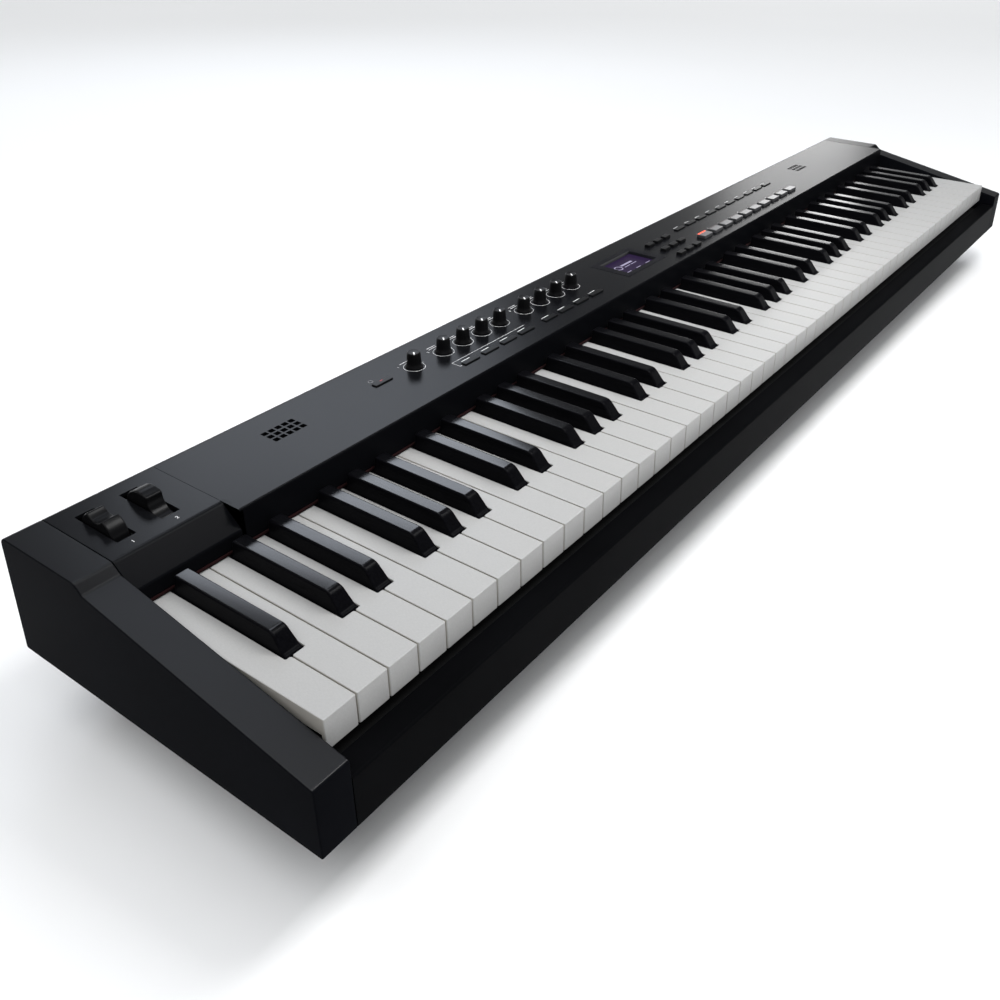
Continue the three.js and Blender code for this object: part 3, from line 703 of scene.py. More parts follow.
def key_slip():
    """The rail in front of the keys, folded over at the top."""
    low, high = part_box("key_slip")
    flange = low.y + 14 * MM
    hook = high.z - 12 * MM
    corners = [
        (low.y, low.z),
        (flange, low.z),
        (flange, low.z + WALL),
        (low.y + WALL, low.z + WALL),
        (low.y + WALL, high.z - WALL),
        (high.y - WALL, high.z - WALL),
        (high.y - WALL, hook),
        (high.y, hook),
        (high.y, high.z),
        (low.y, high.z),
    ]
    radii = [1.2 * MM, 0, 0, 0, 0, 0, 0, 0, 0.8 * MM, 1.6 * MM]
    piece = slab("key_slip_rail", rounded(corners, radii, 5), low.x, high.x)
    dress(piece, slip_black, "case", "casing", "key_slip")


key_slip()

# Rear wall and its sockets
board_low, board_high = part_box("socket_board")
SOCKET_PITCH = 30 * MM
SOCKET_MARGIN = 13 * MM
JACK_WINDOW = 5.4 * MM
INLET_WINDOW = 6.2 * MM
USB_REACH = 4 * MM
USB_SHELL = (5.1 * MM, 4.8 * MM, 2.2 * MM)
USB_BORE = (4.6 * MM, 4.2 * MM, 6 * MM)
FITTING_LIFT = 0.1 * MM
REAR_FLANGE = 14 * MM
jack_places = [board_low.x + SOCKET_MARGIN + i * SOCKET_PITCH for i in range(5)]
usb_place = jack_places[-1] + SOCKET_PITCH
inlet_place = usb_place + SOCKET_PITCH
socket_level = board_high.z - 7 * MM
socket_face = board_high.y
USB_WINDOW = (5.5 * MM, 5.1 * MM, rear + OVERRUN - socket_face)


def usb_box(name, size, start):
    """A block about the USB socket. Size lists half its width, half its height and its reach."""
    half_width, half_height, reach = size
    return block(
        name,
        (usb_place - half_width, start, socket_level - half_height),
        (usb_place + half_width, socket_face + reach, socket_level + half_height),
    )


def round_window(x, radius):
    """A cutter for a round hole in the rear wall."""
    profile = [(0, -OVERRUN), (radius, -OVERRUN), (radius, 12 * MM), (0, 12 * MM)]
    return turned("cutter", profile, (x, socket_face - OVERRUN, socket_level), 32, "Y")


def rear_wall():
    """The leaning rear wall with its windows for the sockets."""
    low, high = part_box("rear_panel")
    height = high.z - base
    corners = [
        (rear - REAR_FLANGE, base),
        (rear, base),
        (rear_at(height), high.z),
        (rear_at(height) - WALL, high.z),
        (rear_at(WALL) - WALL, base + WALL),
        (rear - REAR_FLANGE, base + WALL),
    ]
    piece = slab("rear_wall", rounded(corners, [0, 1.5 * MM, 0, 0, 0, 0]), low.x, high.x)
    usb_window = usb_box("cutter", USB_WINDOW, socket_face - USB_REACH)
    windows = [round_window(x, JACK_WINDOW) for x in jack_places]
    carve(piece, [*windows, round_window(inlet_place, INLET_WINDOW), usb_window])
    dress(piece, rear_black, "case", "casing", "rear_panel")


rear_wall()


def socket_fittings():
    """Plated bushes round the jacks, the shell of the USB socket and the inlet's ring."""
    bush = mm((3.4, 0.1), (4.9, 0.1), (4.9, 2.6), (4.4, 3.2), (3.7, 3.2), (3.4, 2.8))
    centre = (jack_places[0], socket_face, socket_level)
    first = turned("jack_bush", bush, centre, 24, "Y", ring=True)
    shifts = [(i * SOCKET_PITCH, 0, 0) for i in range(1, len(jack_places))]
    bushes = row_of(first, "jack_bush", shifts)
    collar = mm((4.7, 0.1), (5.7, 0.1), (5.7, 2.4), (4.7, 2.4))
    centre = (inlet_place, socket_face, socket_level)
    inlet = turned("inlet_ring", collar, centre, 28, "Y", ring=True)
    shell = usb_box("usb_shell", USB_SHELL, socket_face + FITTING_LIFT)
    carve(shell, [usb_box("cutter", USB_BORE, socket_face - OVERRUN)])
    dress(join("socket_fittings", [*bushes, inlet, shell]), nickel, "case", "steel")


socket_fittings()

# Base tray and feet
TRAY_WALL = 3 * MM
TRAY_EDGE = 7 * MM
TRAY_FLOOR_SIDE = 25 * MM
TRAY_FLOOR_FRONT = 34 * MM
TRAY_FLOOR_REAR = 15 * MM
tray_low, tray_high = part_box("base_tray")


def base_tray():
    """A shallow moulded bowl with sloping sides and rounded corners."""
    piece = block("base_bowl", tray_low, tray_high)
    for vertex in piece.data.vertices:
        if vertex.co.z < tray_low.z + MM:
            vertex.co.x += TRAY_FLOOR_SIDE if vertex.co.x < 0 else -TRAY_FLOOR_SIDE
            vertex.co.y += TRAY_FLOOR_FRONT if vertex.co.y < 0 else -TRAY_FLOOR_REAR
    edit(
        piece,
        "EDGE",
        lambda edge: edge.verts[0].co.z + edge.verts[1].co.z < 2 * tray_high.z - MM,
        lambda: bpy.ops.mesh.bevel(offset=TRAY_EDGE, segments=4, affect="EDGES"),
    )
    edit(piece, "FACE", lambda face: face.normal.z > 0.9, lambda: bpy.ops.mesh.delete(type="FACE"))
    outward(piece)
    modify(piece, "SOLIDIFY", thickness=TRAY_WALL, offset=-1)
    dress(piece, tray_black, "case", "tray", "base_tray")


base_tray()


def feet():
    """Rubber feet with a rounded rim and a recess for the screw."""
    for name in ("foot_front_left", "foot_front_right", "foot_rear_left", "foot_rear_right"):
        low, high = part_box(name)
        radius = (high.x - low.x) / 2
        height = high.z - low.z
        recess = mm((0, 3), (5, 3), (5.4, 0.4), (6, 0))
        rim = [(radius - a, b) for a, b in mm((2.2, 0), (0.9, 0.5), (0.2, 1.8), (0, 3))]
        profile = [*recess, *rim, (radius, height), (0, height)]
        centre = (*middle(name), low.z)
        dress(turned(name + "_rubber", profile, centre, 40), foot_black, "case", "foot", name)


feet()

# Screws
SCREW_RADIUS = 2.6 * MM
CROSS_DEPTH = 1.2 * MM
CROSS_PLACE = 1.6 * MM
TRAY_SCREW_PITCH = 260 * MM
REAR_SCREW_PITCH = 280 * MM
REAR_SCREW_HEIGHT = 60 * MM
REAR_SCREW_SINK = 0.3 * MM
tray_screw_rows = (front + 60 * MM, rear - 40 * MM)
rear_screw_face = rear_at(REAR_SCREW_HEIGHT) - REAR_SCREW_SINK
rear_screw_level = base + REAR_SCREW_HEIGHT


def screw_heads(name, places, axis, out):
    """Cross-head screws seated in a face. Out is 1 or -1, the way they look along the axis."""
    profile = [
        (0, 0),
        (SCREW_RADIUS, 0),
        (SCREW_RADIUS, out * 0.3 * MM),
        (0.75 * SCREW_RADIUS, out * 0.7 * MM),
        (0, out * 0.8 * MM),
    ]
    first = turned(name, profile, places[0], 20, axis)
    half, arm = 0.55 * SCREW_RADIUS, 0.14 * SCREW_RADIUS
    centre = Vector(places[0])
    cross = centre + spot(axis, 0, 0, out * CROSS_PLACE)
    for wide, narrow in ((half, arm), (arm, half)):
        size = spot(axis, wide, narrow, CROSS_DEPTH)
        carve(first, [block("cutter", cross - size, cross + size)])
    heads = row_of(first, name, [Vector(place) - centre for place in places[1:]])
    dress(join(name, heads), screw_black, "case", "steel")


columns = range(-2, 3)
tray_screws = [(i * TRAY_SCREW_PITCH, y, tray_low.z) for i in columns for y in tray_screw_rows]
rear_screws = [(i * REAR_SCREW_PITCH, rear_screw_face, rear_screw_level) for i in columns]
screw_heads("tray_screws", tray_screws, "Z", -1)
screw_heads("rear_screws", rear_screws, "Y", 1)


# Control deck


def deck_section(front_corners, front_radii):
    """The section of a folded deck sheet, from its front lip to its rear skirt."""
    corners = [*front_corners, (rear - REAR_LEAN, top), (rear_at(REAR_SEAM), base + REAR_SEAM)]
    outer = rounded(corners, [*front_radii, REAR_CORNER, 0], 5)
    return [*outer, *reversed(inner_side(outer, WALL))]


# Wheels in their slots
WHEEL_DECK_FRONT = [
    (front + PANEL_FRONT, base + LIP_BOTTOM),
    (front + PANEL_FRONT, base + SLOPE_FOOT),
    (front + DECK_FRONT, top),
]
WHEEL_RADIUS = 17.2 * MM
WHEEL_WIDTH = 11.5 * MM
WHEEL_TWO_REST = 52
NOTCH_RADIUS = 9.8 * MM
NOTCH_REACH = 21.8 * MM
RIM_STEPS = 56
NOTCH_STEPS = 16
SLOT_WIDTH = 12.8 * MM
SLOT_LENGTH = 44 * MM
AXLE_RADIUS = 3 * MM
WHEEL_AXIS_Y = front + 222 * MM
WHEEL_AXIS_Z = base + 82.6 * MM
wheel_places = [middle(name)[0] for name in ("wheel_1", "wheel_2")]


def oblong(x, y, width, depth, radius, steps):
    """An outline with rounded corners about a place."""
    x0, x1, y0, y1 = x - width / 2, x + width / 2, y - depth / 2, y + depth / 2
    return rounded([(x0, y0), (x1, y0), (x1, y1), (x0, y1)], [radius] * 4, steps)


def through_deck(x, y, width, depth, radius=0.4 * MM):
    """A cutter for a hole through the deck, with slightly rounded corners."""
    outline = oblong(x, y, width, depth, radius, 2)
    return slab("cutter", outline, top - WALL - OVERRUN, top + OVERRUN, "Z")


def wheel_deck():
    """The short deck over the wheels, with its sloping fascia and two slots."""
    low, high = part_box("wheel_panel")
    section = deck_section(WHEEL_DECK_FRONT, [0, 2.5 * MM, 5 * MM])
    piece = slab("wheel_deck", section, low.x, high.x)
    carve(piece, [through_deck(x, WHEEL_AXIS_Y, SLOT_WIDTH, SLOT_LENGTH) for x in wheel_places])
    dress(piece, panel_black, "case", "panel", "wheel_panel")


wheel_deck()


def wheel(name, x, rest_angle):
    """A wheel with one round notch for the fingertip."""
    centre = Vector((WHEEL_AXIS_Y, WHEEL_AXIS_Z))
    turn = math.radians(90 + rest_angle)
    notch = centre + NOTCH_REACH * Vector((math.cos(turn), math.sin(turn)))
    cosine = WHEEL_RADIUS**2 + NOTCH_REACH**2 - NOTCH_RADIUS**2
    opening = math.acos(cosine / (2 * WHEEL_RADIUS * NOTCH_REACH))
    arm = WHEEL_RADIUS * Vector((math.cos(turn + opening), math.sin(turn + opening)))
    rim = arc(centre, arm, 2 * (math.pi - opening), RIM_STEPS)
    first, last = rim[-1] - notch, rim[0] - notch
    sweep = swing(first, last)
    if sweep > 0:
        sweep -= 2 * math.pi
    outline = [*rim, *arc(notch, first, sweep, NOTCH_STEPS)[1:-1]]
    piece = slab(name + "_rim", outline, x - WHEEL_WIDTH / 2, x + WHEEL_WIDTH / 2)
    soften(piece, 0.9 * MM, 4, 30)
    axle_low, axle_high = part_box(name)
    half = (axle_high.x - axle_low.x) / 2
    profile = [(0, -half), (AXLE_RADIUS, -half), (AXLE_RADIUS, half), (0, half)]
    axle = turned("axle", profile, (x, WHEEL_AXIS_Y, WHEEL_AXIS_Z), 20, "X")
    dress(join(name + "_rim", [piece, axle]), wheel_black, name, "wheel", name)


wheel("wheel_1", wheel_places[0], 0)
wheel("wheel_2", wheel_places[1], WHEEL_TWO_REST)

# The control panel
VENT_PITCH_X = 6 * MM
VENT_PITCH_Y = 6.2 * MM
VENT_HOLE = 4.6 * MM
HOLE_MARGIN = 0.3 * MM
knob_names = [f"knob_{i}" for i in range(1, 10)]
slim_names = [f"slim_button_{i}" for i in range(1, 9)]
# A cap's width, depth and rise over the panel
SLIM = (18.5 * MM, 5.3 * MM, 1.1 * MM)
PAD = (18.2 * MM, 10.6 * MM, 3 * MM)
CURSOR = (12 * MM, 6.6 * MM, 2.6 * MM)
ROW_PITCH = 25 * MM
CURSOR_PITCH = 16.8 * MM
FLANGE = 1 * MM
FLANGE_BOTTOM = top - WALL - 1.5 * MM
FLANGE_TOP = top - WALL - 0.3 * MM
BAR_HALF = 1.6 * MM


def row_places(node, width, pitch, count):
    """The middles of the caps of a strip."""
    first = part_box(node)[0].x + FLANGE + width / 2
    return [(first + i * pitch, middle(node)[1]) for i in range(count)]


rear_row = row_places("rear_button_strip", SLIM[0], ROW_PITCH, 10)
pad_row = row_places("pad_button_strip", PAD[0], ROW_PITCH, 10)
cursor_rows = [
    row_places(f"cursor_button_strip_{i}", CURSOR[0], CURSOR_PITCH, 3) for i in (1, 2, 3)
]
bezel_low, bezel_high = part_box("display_bezel")


def control_panel():
    """The long panel: its end wall at the wheel deck, its vents and the holes for the controls."""
    low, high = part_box("top_panel")
    lip = [(front + PANEL_FRONT, base + LIP_BOTTOM), (front + PANEL_FRONT, top)]
    piece = slab("control_panel", deck_section(lip, [0, 1.4 * MM]), low.x, high.x)
    inner = inner_side([Vector(corner) for corner in WHEEL_DECK_FRONT], WALL)
    end = [*reversed(inner), WHEEL_DECK_FRONT[0], (front + PANEL_FRONT, top), (inner[2].x, top)]
    end_outline = rounded(end, [0, 0, 0, 0, 1.4 * MM, 0])
    end_cap = slab("panel_end", end_outline, low.x, low.x + WALL)
    holes = []
    for node in ("speaker_left", "speaker_right"):
        x, y = middle(node)
        for column in range(-2, 3):
            for row in range(-1, 2):
                place = x + column * VENT_PITCH_X, y + row * VENT_PITCH_Y
                holes.append(through_deck(*place, VENT_HOLE, VENT_HOLE, 0.5 * MM))
    slim_places = [*map(middle, slim_names), middle("power_button"), *rear_row]
    cursor_places = [place for row in cursor_rows for place in row]
    kinds = [
        (slim_places, SLIM, 0.4 * MM),
        (pad_row, PAD, 0.4 * MM),
        (cursor_places, CURSOR, 0.8 * MM),
        ([middle("display_bezel")], bezel_high - bezel_low, 0.4 * MM),
    ]
    for places, size, corner in kinds:
        width, depth = size[0] + 2 * HOLE_MARGIN, size[1] + 2 * HOLE_MARGIN
        holes += [through_deck(*place, width, depth, corner) for place in places]
    carve(piece, holes)
    dress(join("control_panel", [piece, end_cap]), panel_black, "case", "panel", "top_panel")


control_panel()


# Controls
POINTER_TURN = math.radians(-40)
FLUTES = 18
FLUTE_SHARE = 0.02
LAMP_PROUD = 0.02 * MM


def knobs():
    """A knob with a flared skirt, shallow flutes and a slightly dished top."""
    x0, y0 = middle(knob_names[0])
    stem = mm((0, -5.5), (3, -5.5), (3, 0.3))
    skirt = mm((7.1, 0.3), (7.2, 0.6), (7.1, 1.1), (6.6, 1.7), (6.15, 2.6), (5.95, 4))
    grip = mm((5.75, 7), (5.6, 10), (5.45, 12), (5.2, 12.7))
    dish = mm((4.7, 13), (4.2, 12.9), (3.6, 12.75), (0, 12.75))
    profile = [*stem, *skirt, *grip, *dish]
    first = turned("knob", profile, (x0, y0, top), FLUTES * 4)
    for vertex in first.data.vertices:
        height = vertex.co.z - top
        if 3.5 * MM < height < 12.4 * MM:
            away = Vector((vertex.co.x - x0, vertex.co.y - y0, 0))
            wave = math.cos(FLUTES * math.atan2(away.y, away.x))
            vertex.co -= away * FLUTE_SHARE * (1 - wave)
    pointer = block(
        "pointer",
        (x0 - 0.6 * MM, y0 - 5.1 * MM, top + 12.5 * MM),
        (x0 + 0.6 * MM, y0 - 0.4 * MM, top + 12.98 * MM),
    )
    soften(pointer, 0.1 * MM, 2)
    turn = Matrix.Translation((x0, y0, 0)) @ Matrix.Rotation(POINTER_TURN, 4, "Z")
    pointer.data.transform(turn @ Matrix.Translation((-x0, -y0, 0)))
    for name in knob_names:
        x, y = middle(name)
        shift = (x - x0, y - y0, 0)
        body = copy_to(first, name + "_cap", shift)
        dress(body, control_black, name, "control", name, angle=50)
        mark = copy_to(pointer, name + "_pointer", shift)
        dress(mark, ink_white, name, "control")
    discard(first)
    discard(pointer)


knobs()


def cap(name, x, y, size, corner=0.8 * MM, edge=0.5 * MM):
    """A button cap with rounded corners and a softened top, on its hidden flange."""
    width, depth, rise = size
    outline = oblong(x, y, width, depth, corner, 4)
    piece = slab(name, outline, top - WALL - 0.4 * MM, top + rise, "Z")
    soften(piece, edge, 3, 50)
    reach_x, reach_y = width / 2 + FLANGE, depth / 2 + FLANGE
    flange = block(
        "flange",
        (x - reach_x, y - reach_y, FLANGE_BOTTOM),
        (x + reach_x, y + reach_y, FLANGE_TOP),
    )
    return join(name, [piece, flange])


def strip(name, node, places, size, look, slot, **edges):
    """A row of caps on one bar."""
    x0, y0 = places[0]
    first = cap("cap", x0, y0, size, **edges)
    caps = row_of(first, "cap", [(x - x0, y - y0, 0) for x, y in places[1:]])
    bar = block(
        "bar",
        (x0, y0 - BAR_HALF, FLANGE_BOTTOM),
        (places[-1][0], y0 + BAR_HALF, FLANGE_TOP),
    )
    dress(join(name, [*caps, bar]), look, node, slot, node)


def buttons():
    """The slim buttons, the rear row, the pads and the small group."""
    x0, y0 = middle(slim_names[0])
    first = cap("slim_cap", x0, y0, SLIM)
    for name in [*slim_names, "power_button"]:
        x, y = middle(name)
        piece = copy_to(first, name + "_cap", (x - x0, y - y0, 0))
        dress(piece, control_black, name, "control", name)
    discard(first)
    strip("rear_row_caps", "rear_button_strip", rear_row, SLIM, control_black, "control")
    pad_edges = {"corner": 1 * MM, "edge": 0.6 * MM}
    strip("pad_caps", "pad_button_strip", pad_row, PAD, pad_grey, "pad", **pad_edges)
    cursor_edges = {"corner": 1.6 * MM, "edge": 0.7 * MM}
    for i, row in enumerate(cursor_rows, 1):
        node = f"cursor_button_strip_{i}"
        strip(f"cursor_caps_{i}", node, row, CURSOR, control_black, "control", **cursor_edges)


buttons()


def lamps():
    """The lamp windows along the rear edges of the pads, the first one lit, and the power lamp."""
    x0, y0 = pad_row[0]
    half = PAD[0] / 2 - 0.5 * MM
    edge = y0 + PAD[1] / 2
    window = block(
        "pad_lamp_lit",
        (x0 - half, edge - 2.7 * MM, top + 1.2 * MM),
        (x0 + half, edge + LAMP_PROUD, top + PAD[2] + LAMP_PROUD),
    )
    soften(window, 0.45 * MM, 3)
    _, *dark = row_of(window, "window", [(i * ROW_PITCH, 0, 0) for i in range(1, len(pad_row))])
    dress(window, lamp_red, "pad_button_strip", "pad")
    dress(join("pad_lamps", dark), lamp_dark, "pad_button_strip", "pad")
    x, y = middle("power_button")
    lamp = block(
        "power_lamp_window",
        (x - 1.4 * MM, y + 0.8 * MM, top + SLIM[2] - 0.4 * MM),
        (x + 1.4 * MM, y + 2 * MM, top + SLIM[2] + LAMP_PROUD),
    )
    soften(lamp, 0.15 * MM, 2)
    dress(lamp, power_lamp, "power_button", "control")


lamps()



def bars(x, y, bottom, face, *boxes):
    """Flat bars beside a place. Each box lists its sides' distances in millimetres."""
    return [
        block("bar", (x + x0 * MM, y + y0 * MM, bottom), (x + x1 * MM, y + y1 * MM, face))
        for x0, y0, x1, y1 in boxes
    ]


# Display
WINDOW_WIDTH = 55 * MM
WINDOW_DEPTH = 34 * MM
WINDOW_CHAMFER = 1.4 * MM
BEZEL_CORNER = 1.6 * MM
GRAPHICS_LIFT = 0.04 * MM
GRAPHICS_SINK = 0.02 * MM


def display():
    """The window's frame with its chamfered opening, and the lit module under it."""
    x, y = middle("display_bezel")
    frame_piece = block("display_frame", bezel_low, bezel_high)
    edit(
        frame_piece,
        "EDGE",
        lambda edge: abs(edge.verts[0].co.z - edge.verts[1].co.z) > MM,
        lambda: bpy.ops.mesh.bevel(offset=BEZEL_CORNER, segments=5, affect="EDGES"),
    )
    cutter = block(
        "cutter",
        (x - WINDOW_WIDTH / 2, y - WINDOW_DEPTH / 2, bezel_low.z - OVERRUN),
        (x + WINDOW_WIDTH / 2, y + WINDOW_DEPTH / 2, bezel_high.z + OVERRUN),
    )
    rate = WINDOW_CHAMFER / (bezel_high.z - bezel_low.z)
    for vertex in cutter.data.vertices:
        inward = WINDOW_CHAMFER + OVERRUN * rate if vertex.co.z < bezel_low.z else -OVERRUN * rate
        vertex.co.x += inward if vertex.co.x < x else -inward
        vertex.co.y += inward if vertex.co.y < y else -inward
    carve(frame_piece, [cutter])
    soften(frame_piece, 0.2 * MM, 2, 30)
    dress(frame_piece, bezel_black, "case", "bezel", "display_bezel")
    low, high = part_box("display_module")
    module = block("display_panel", low, high)
    soften(module, 0.5 * MM, 2)
    dress(module, screen_violet, "case", "screen", "display_module")
    bottom, face = high.z - GRAPHICS_SINK, high.z + GRAPHICS_LIFT
    ring = mm((3.6, 0), (4.8, 0), (4.8, 0.06), (3.6, 0.06))
    circle = turned("ring", ring, (x - 17 * MM, y + 1 * MM, bottom), 40, ring=True)
    lines = [
        (-10, 1.4, 10, 4.2),
        (-10, -2.4, 0, -1.4),
        (2, -2.4, 12, -1.4),
        (-22, -12.6, -14, -11.6),
        (-4, -12.6, 4, -11.6),
        (14, -12.6, 22, -11.6),
    ]
    graphics = join("display_graphics", [circle, *bars(x, y, bottom, face, *lines)])
    dress(graphics, screen_lavender, "case", "screen")


display()


# Printing on the panel
PRINT = 0.05 * MM


def printed(x, y, *boxes):
    """Printed bars beside a place."""
    return bars(x, y, top - PRINT, top + PRINT, *boxes)


def numeral(text, x, y, size):
    """A printed numeral, centred on a place."""
    deselect()
    bpy.ops.object.text_add()
    words = bpy.context.object
    settle(words.data, body=text, size=size, align_x="CENTER", align_y="CENTER", extrude=PRINT)
    bpy.ops.object.convert(target="MESH")
    words = bpy.context.object
    words.data.transform(Matrix.Translation((x, y, top)))
    return words


def printing():
    """Rings, bars and numerals beside the controls."""
    ring = [(8.6 * MM, -PRINT), (8.9 * MM, -PRINT), (8.9 * MM, PRINT), (8.6 * MM, PRINT)]
    knob_bars = [(8.9, -0.15, 10.4, 0.15), (-5, 11.5, 5, 12), (-5, 14, 5, 14.5)]
    prints = []
    for i, name in enumerate(knob_names):
        x, y = middle(name)
        prints.append(turned("ring", ring, (x, y, top), 48, ring=True))
        prints.append(numeral(str(i + 1), x - 9 * MM, y + 9 * MM, 3.4 * MM))
        prints += printed(x, y, *knob_bars[: 2 if i == 0 else 3])
    for name in slim_names:
        prints += printed(*middle(name), (-6, 4.6, 4, 5.2))
    x, y = middle(slim_names[0])
    reach = (middle(slim_names[3])[0] - x) / MM + 9
    prints += printed(x, y, (-13, 9, reach, 9.3), (-13, 0, -12.7, 9), (-13, 0, -10.5, 0.3))
    x, y = middle("power_button")
    small_ring = [(radius * 0.22, height) for radius, height in ring]
    prints.append(turned("ring", small_ring, (x - 5 * MM, y + 8 * MM, top), 24, ring=True))
    for i, x in enumerate(wheel_places):
        prints.append(numeral(str(i + 1), x, front + 194 * MM, 4 * MM))
    for place in rear_row:
        prints += printed(*place, (-5, 5, 5, 5.5))
    for i, (x, y) in enumerate(pad_row):
        prints.append(numeral(str(i + 1), x, y + 9 * MM, 3.2 * MM))
    dress(join("panel_printing", prints), ink_white, "case", "panel")


printing()


# Keys


def sharp_after(index):
    """How far the black key after a white key stands from their shared line, or None."""
    if index < 0 or index >= WHITE_COUNT - 1:
        return None
    return SHARP_OFFSETS.get("ABCDEFG"[index % 7])


white_low, white_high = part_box("white_keys_1")
keys_left = white_low.x - KEY_GAP / 2
key_front = white_low.y
key_top = white_high.z
key_underside = white_low.z
key_rear = white_high.y
head_rear = key_front + HEAD_LENGTH
step = front + KEY_STEP
rail_front = key_rear - RAIL_DEPTH
tail_top = base + TAIL_TOP


def white_key(before, after):
    """A white key at the first place, cut out for the black keys on its two sides."""
    x0, x1 = keys_left + KEY_GAP / 2, keys_left + KEY_PITCH - KEY_GAP / 2
    corners = [(x0, key_front), (x1, key_front)]
    radii = [0.9 * MM, 0.9 * MM]
    narrow_left, narrow_right = x0, x1
    if after is not None:
        narrow_right = keys_left + KEY_PITCH + after - NOTCH_HALF
        corners += [(x1, head_rear), (narrow_right, head_rear)]
        radii += [1.2 * MM, 0.8 * MM]
    if before is not None:
        narrow_left = keys_left + before + NOTCH_HALF
    corners += [(narrow_right, step), (narrow_left, step)]
    radii += [0, 0]
    if before is not None:
        corners += [(narrow_left, head_rear), (x0, head_rear)]
        radii += [0.8 * MM, 1.2 * MM]
    piece = slab("white_key", rounded(corners, radii, 3), key_top - KEY_BODY, key_top, "Z")
    lip = key_front + KEY_LIP
    edit(
        piece,
        "FACE",
        everything,
        lambda: bpy.ops.mesh.bisect(plane_co=(0, lip, 0), plane_no=(0, 1, 0)),
    )
    extrude(
        piece,
        lambda face: face.normal.z < -0.9 and face.calc_center_median().y < lip,
        Vector((0, 0, key_underside - key_top + KEY_BODY)),
    )
    outward(piece)
    soften(piece, KEY_EDGE, 3)
    heel = block(
        "heel",
        (narrow_left, step - KEY_HEEL, key_underside),
        (narrow_right, step - 0.02 * MM, key_top - KEY_BODY + 0.5 * MM),
    )
    tail = block(
        "tail",
        (narrow_left, step - MM, key_underside),
        (narrow_right, rail_front + MM, tail_top),
    )
    return join("white_key", [piece, heel, tail])


def key_set(kind, i, keys, x0, x1, bottom, height, look):
    """Joins the keys of a set by the rail at their rear ends."""
    rail = block("rail", (x0, rail_front, bottom), (x1, key_rear, height))
    node = f"{kind}_keys_{i}"
    dress(join(f"{kind}_key_set_{i}", [*keys, rail]), look, node, f"{kind}_key", node)


def white_keys():
    """The sets of white keys on their rails. Each shape of key is modelled once."""
    shapes = {}
    for i, (first, end) in KEY_SETS:
        keys = []
        for index in range(first, end):
            sides = sharp_after(index - 1), sharp_after(index)
            if sides not in shapes:
                shapes[sides] = white_key(*sides)
            keys.append(copy_to(shapes[sides], "white_key", (index * KEY_PITCH, 0, 0)))
        x0 = keys_left + first * KEY_PITCH + KEY_GAP / 2
        x1 = keys_left + end * KEY_PITCH - KEY_GAP / 2
        key_set("white", i, keys, x0, x1, key_underside, tail_top, key_white)
    for shape in shapes.values():
        discard(shape)


white_keys()

black_low, black_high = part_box("black_keys_1")
black_front = black_low.y
black_top = black_high.z
black_floor = key_top - 0.5 * MM
black_end = front + BLACK_END
black_tail_bottom = tail_top + 0.8 * MM
black_tail_top = base + BLACK_TAIL_TOP


def black_key():
    """A black key about x = 0: tapered sides, a sloping nose with a small toe, rounded edges."""
    corners = [
        (black_front, black_floor - 2 * MM),
        (black_front, black_floor + 0.6 * MM),
        (black_front + 2.4 * MM, black_floor + 1.6 * MM),
        (black_front + BLACK_NOSE - 1.6 * MM, black_top),
        (black_end - 0.8 * MM, black_top),
        (black_end, black_floor - 2 * MM),
    ]
    radii = [0, 1.4 * MM, 2.5 * MM, 7 * MM, 1.6 * MM, 0]
    crown = slab("crown", rounded(corners, radii, 5), -1, 1)
    for vertex in crown.data.vertices:
        rise = max(0, vertex.co.z - black_floor) / (black_top - black_floor)
        half = BLACK_WIDTH / 2 + rise * (BLACK_TOP_WIDTH - BLACK_WIDTH) / 2
        vertex.co.x = math.copysign(half, vertex.co.x)
    soften(crown, 1.3 * MM, 4)
    stem = block(
        "stem",
        (-BLACK_WIDTH / 2, black_front, black_low.z),
        (BLACK_WIDTH / 2, step, black_floor),
    )
    tail = block(
        "tail",
        (-BLACK_TAIL_WIDTH / 2, step - KEY_HEEL, black_tail_bottom),
        (BLACK_TAIL_WIDTH / 2, key_rear, black_tail_top),
    )
    return join("black_key", [crown, stem, tail])


def black_keys():
    """The sets of black keys on their rails."""
    shape = black_key()
    for i, (first, end) in KEY_SETS:
        places = [
            keys_left + (index + 1) * KEY_PITCH + sharp_after(index)
            for index in range(first, end)
            if sharp_after(index) is not None
        ]
        keys = [copy_to(shape, "black_key", (x, 0, 0)) for x in places]
        half = BLACK_TAIL_WIDTH / 2
        x0, x1 = places[0] - half, places[-1] + half
        key_set("black", i, keys, x0, x1, black_tail_bottom, black_tail_top, key_black)
    discard(shape)


black_keys()


def name_felt():
    """The felt strip behind the keys."""
    low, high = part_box("name_felt")
    piece = block("felt_strip", low, high)
    soften(piece, 0.5 * MM, 3)
    dress(piece, felt_red, "case", "felt", "name_felt")


name_felt()

# Inner parts keep the frame's own shapes
inner_looks = {
    "key_frame": frame_black,
    "stop_felt": felt_black,
    "main_board": board_green,
    "wheel_bracket": steel,
    "socket_board": socket_black,
    "speaker_left": cone_black,
    "speaker_right": cone_black,
}
for node, look in inner_looks.items():
    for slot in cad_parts[node].material_slots:
        slot.material = look


# Studio


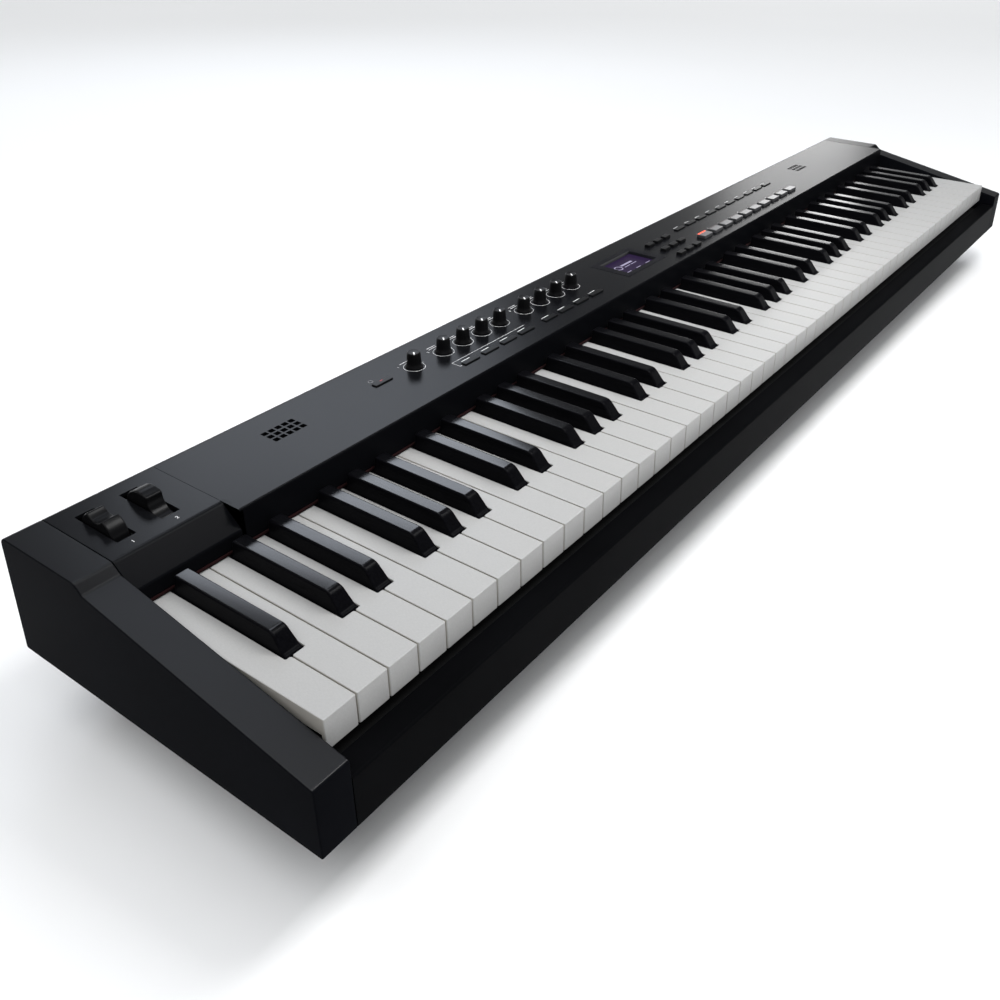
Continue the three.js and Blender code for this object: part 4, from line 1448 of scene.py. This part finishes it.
def studio():
    """A pale floor, and air that is bright at the horizon and dim overhead."""
    deselect()
    bpy.ops.mesh.primitive_grid_add(x_subdivisions=8, y_subdivisions=8, size=40)
    floor = named("studio_floor")
    paper = grained(
        "studio_floor",
        (0.7, 3),
        (0.93, 0.93, 0.93),
        (0.96, 0.96, 0.96),
        (0.85, 0.1),
        spread=(0.2, 0.8),
        specular=0.1,
    )
    floor.data.materials.append(paper)
    world = bpy.data.worlds.new("studio_air")
    world.use_nodes = True
    tree = world.node_tree
    direction = tree.nodes.new("ShaderNodeTexCoord")
    height = tree.nodes.new("ShaderNodeSeparateXYZ")
    tree.links.new(direction.outputs["Generated"], height.inputs[0])
    glow = tree.nodes.new("ShaderNodeValToRGB")
    set_stops(glow.color_ramp, [(0.12, (0.86, 0.87, 0.88)), (0.32, (0.067, 0.068, 0.07))])
    tree.links.new(height.outputs["Z"], glow.inputs["Fac"])
    tree.links.new(glow.outputs["Color"], tree.nodes["Background"].inputs["Color"])
    bpy.context.scene.world = world
    bpy.context.scene.view_settings.view_transform = "Standard"


def hang(light, place, turn):
    """Puts a light into the scene."""
    lamp = bpy.data.objects.new(light.name, light)
    lamp.location = place
    lamp.rotation_euler = turn
    bpy.context.collection.objects.link(lamp)


def softbox(name, place, aim, width, height, power, colour=(1, 1, 1)):
    """A rectangular light turned towards a point."""
    light = bpy.data.lights.new(name, "AREA")
    settle(light, shape="RECTANGLE", size=width, size_y=height, energy=power, color=colour)
    hang(light, place, (Vector(aim) - Vector(place)).to_track_quat("-Z", "Y").to_euler())


def skylight(strength):
    """A very soft light from above, which also reaches the far floor."""
    light = bpy.data.lights.new("skylight", "SUN")
    settle(light, energy=strength, angle=math.radians(70), color=(0.97, 0.985, 1))
    hang(light, (0, 0, 0), (math.radians(10), math.radians(-12), 0))


COOL = (0.84, 0.9, 1)
studio()
skylight(2.3)
softbox("overhead", (0.02, -0.35, 0.95), (0.02, -0.1, 0), 0.6, 0.3, 7.5)
softbox("far_right", (6.5, 2.55, 1.6), (0.3, 0.05, 0.13), 1.0, 1.4, 19)
softbox("slope_light", (0.28, 0.98, 2.19), (-0.62, 0, 0.1), 0.8, 0.6, 3, COOL)
softbox("front_right", (2.1, -1.2, 0.95), (0.55, -0.1, 0.08), 0.8, 0.5, 3.5)
softbox("rear_left", (1.12, 1.93, 1.55), (-0.45, 0.05, 0.146), 1.3, 0.8, 9, COOL)
softbox("left_strip", (-1.2, 1.0, 1.4), (-0.2, 0, 0.1), 1.2, 0.12, 3)


# The camera that was fitted to the photograph
CAMERA_PLACE = (-0.85076, -0.42556, 0.50001)
CAMERA_TURN = math.radians(-55.8207)
CAMERA_TILT = math.radians(90 - 28.0914)
CAMERA_ROLL = math.radians(1.0376)


def camera():
    """Looks at the instrument as the photograph does."""
    lens = bpy.data.cameras.new("camera")
    settle(lens, sensor_width=36, lens=36.158, shift_x=-0.072873, shift_y=-0.095735)
    settle(lens, clip_start=0.01, clip_end=100)
    viewer = bpy.data.objects.new("camera", lens)
    viewer.matrix_world = (
        Matrix.Translation(CAMERA_PLACE)
        @ Matrix.Rotation(CAMERA_TURN, 4, "Z")
        @ Matrix.Rotation(CAMERA_TILT, 4, "X")
        @ Matrix.Rotation(CAMERA_ROLL, 4, "Z")
    )
    bpy.context.collection.objects.link(viewer)
    bpy.context.scene.camera = viewer


camera()
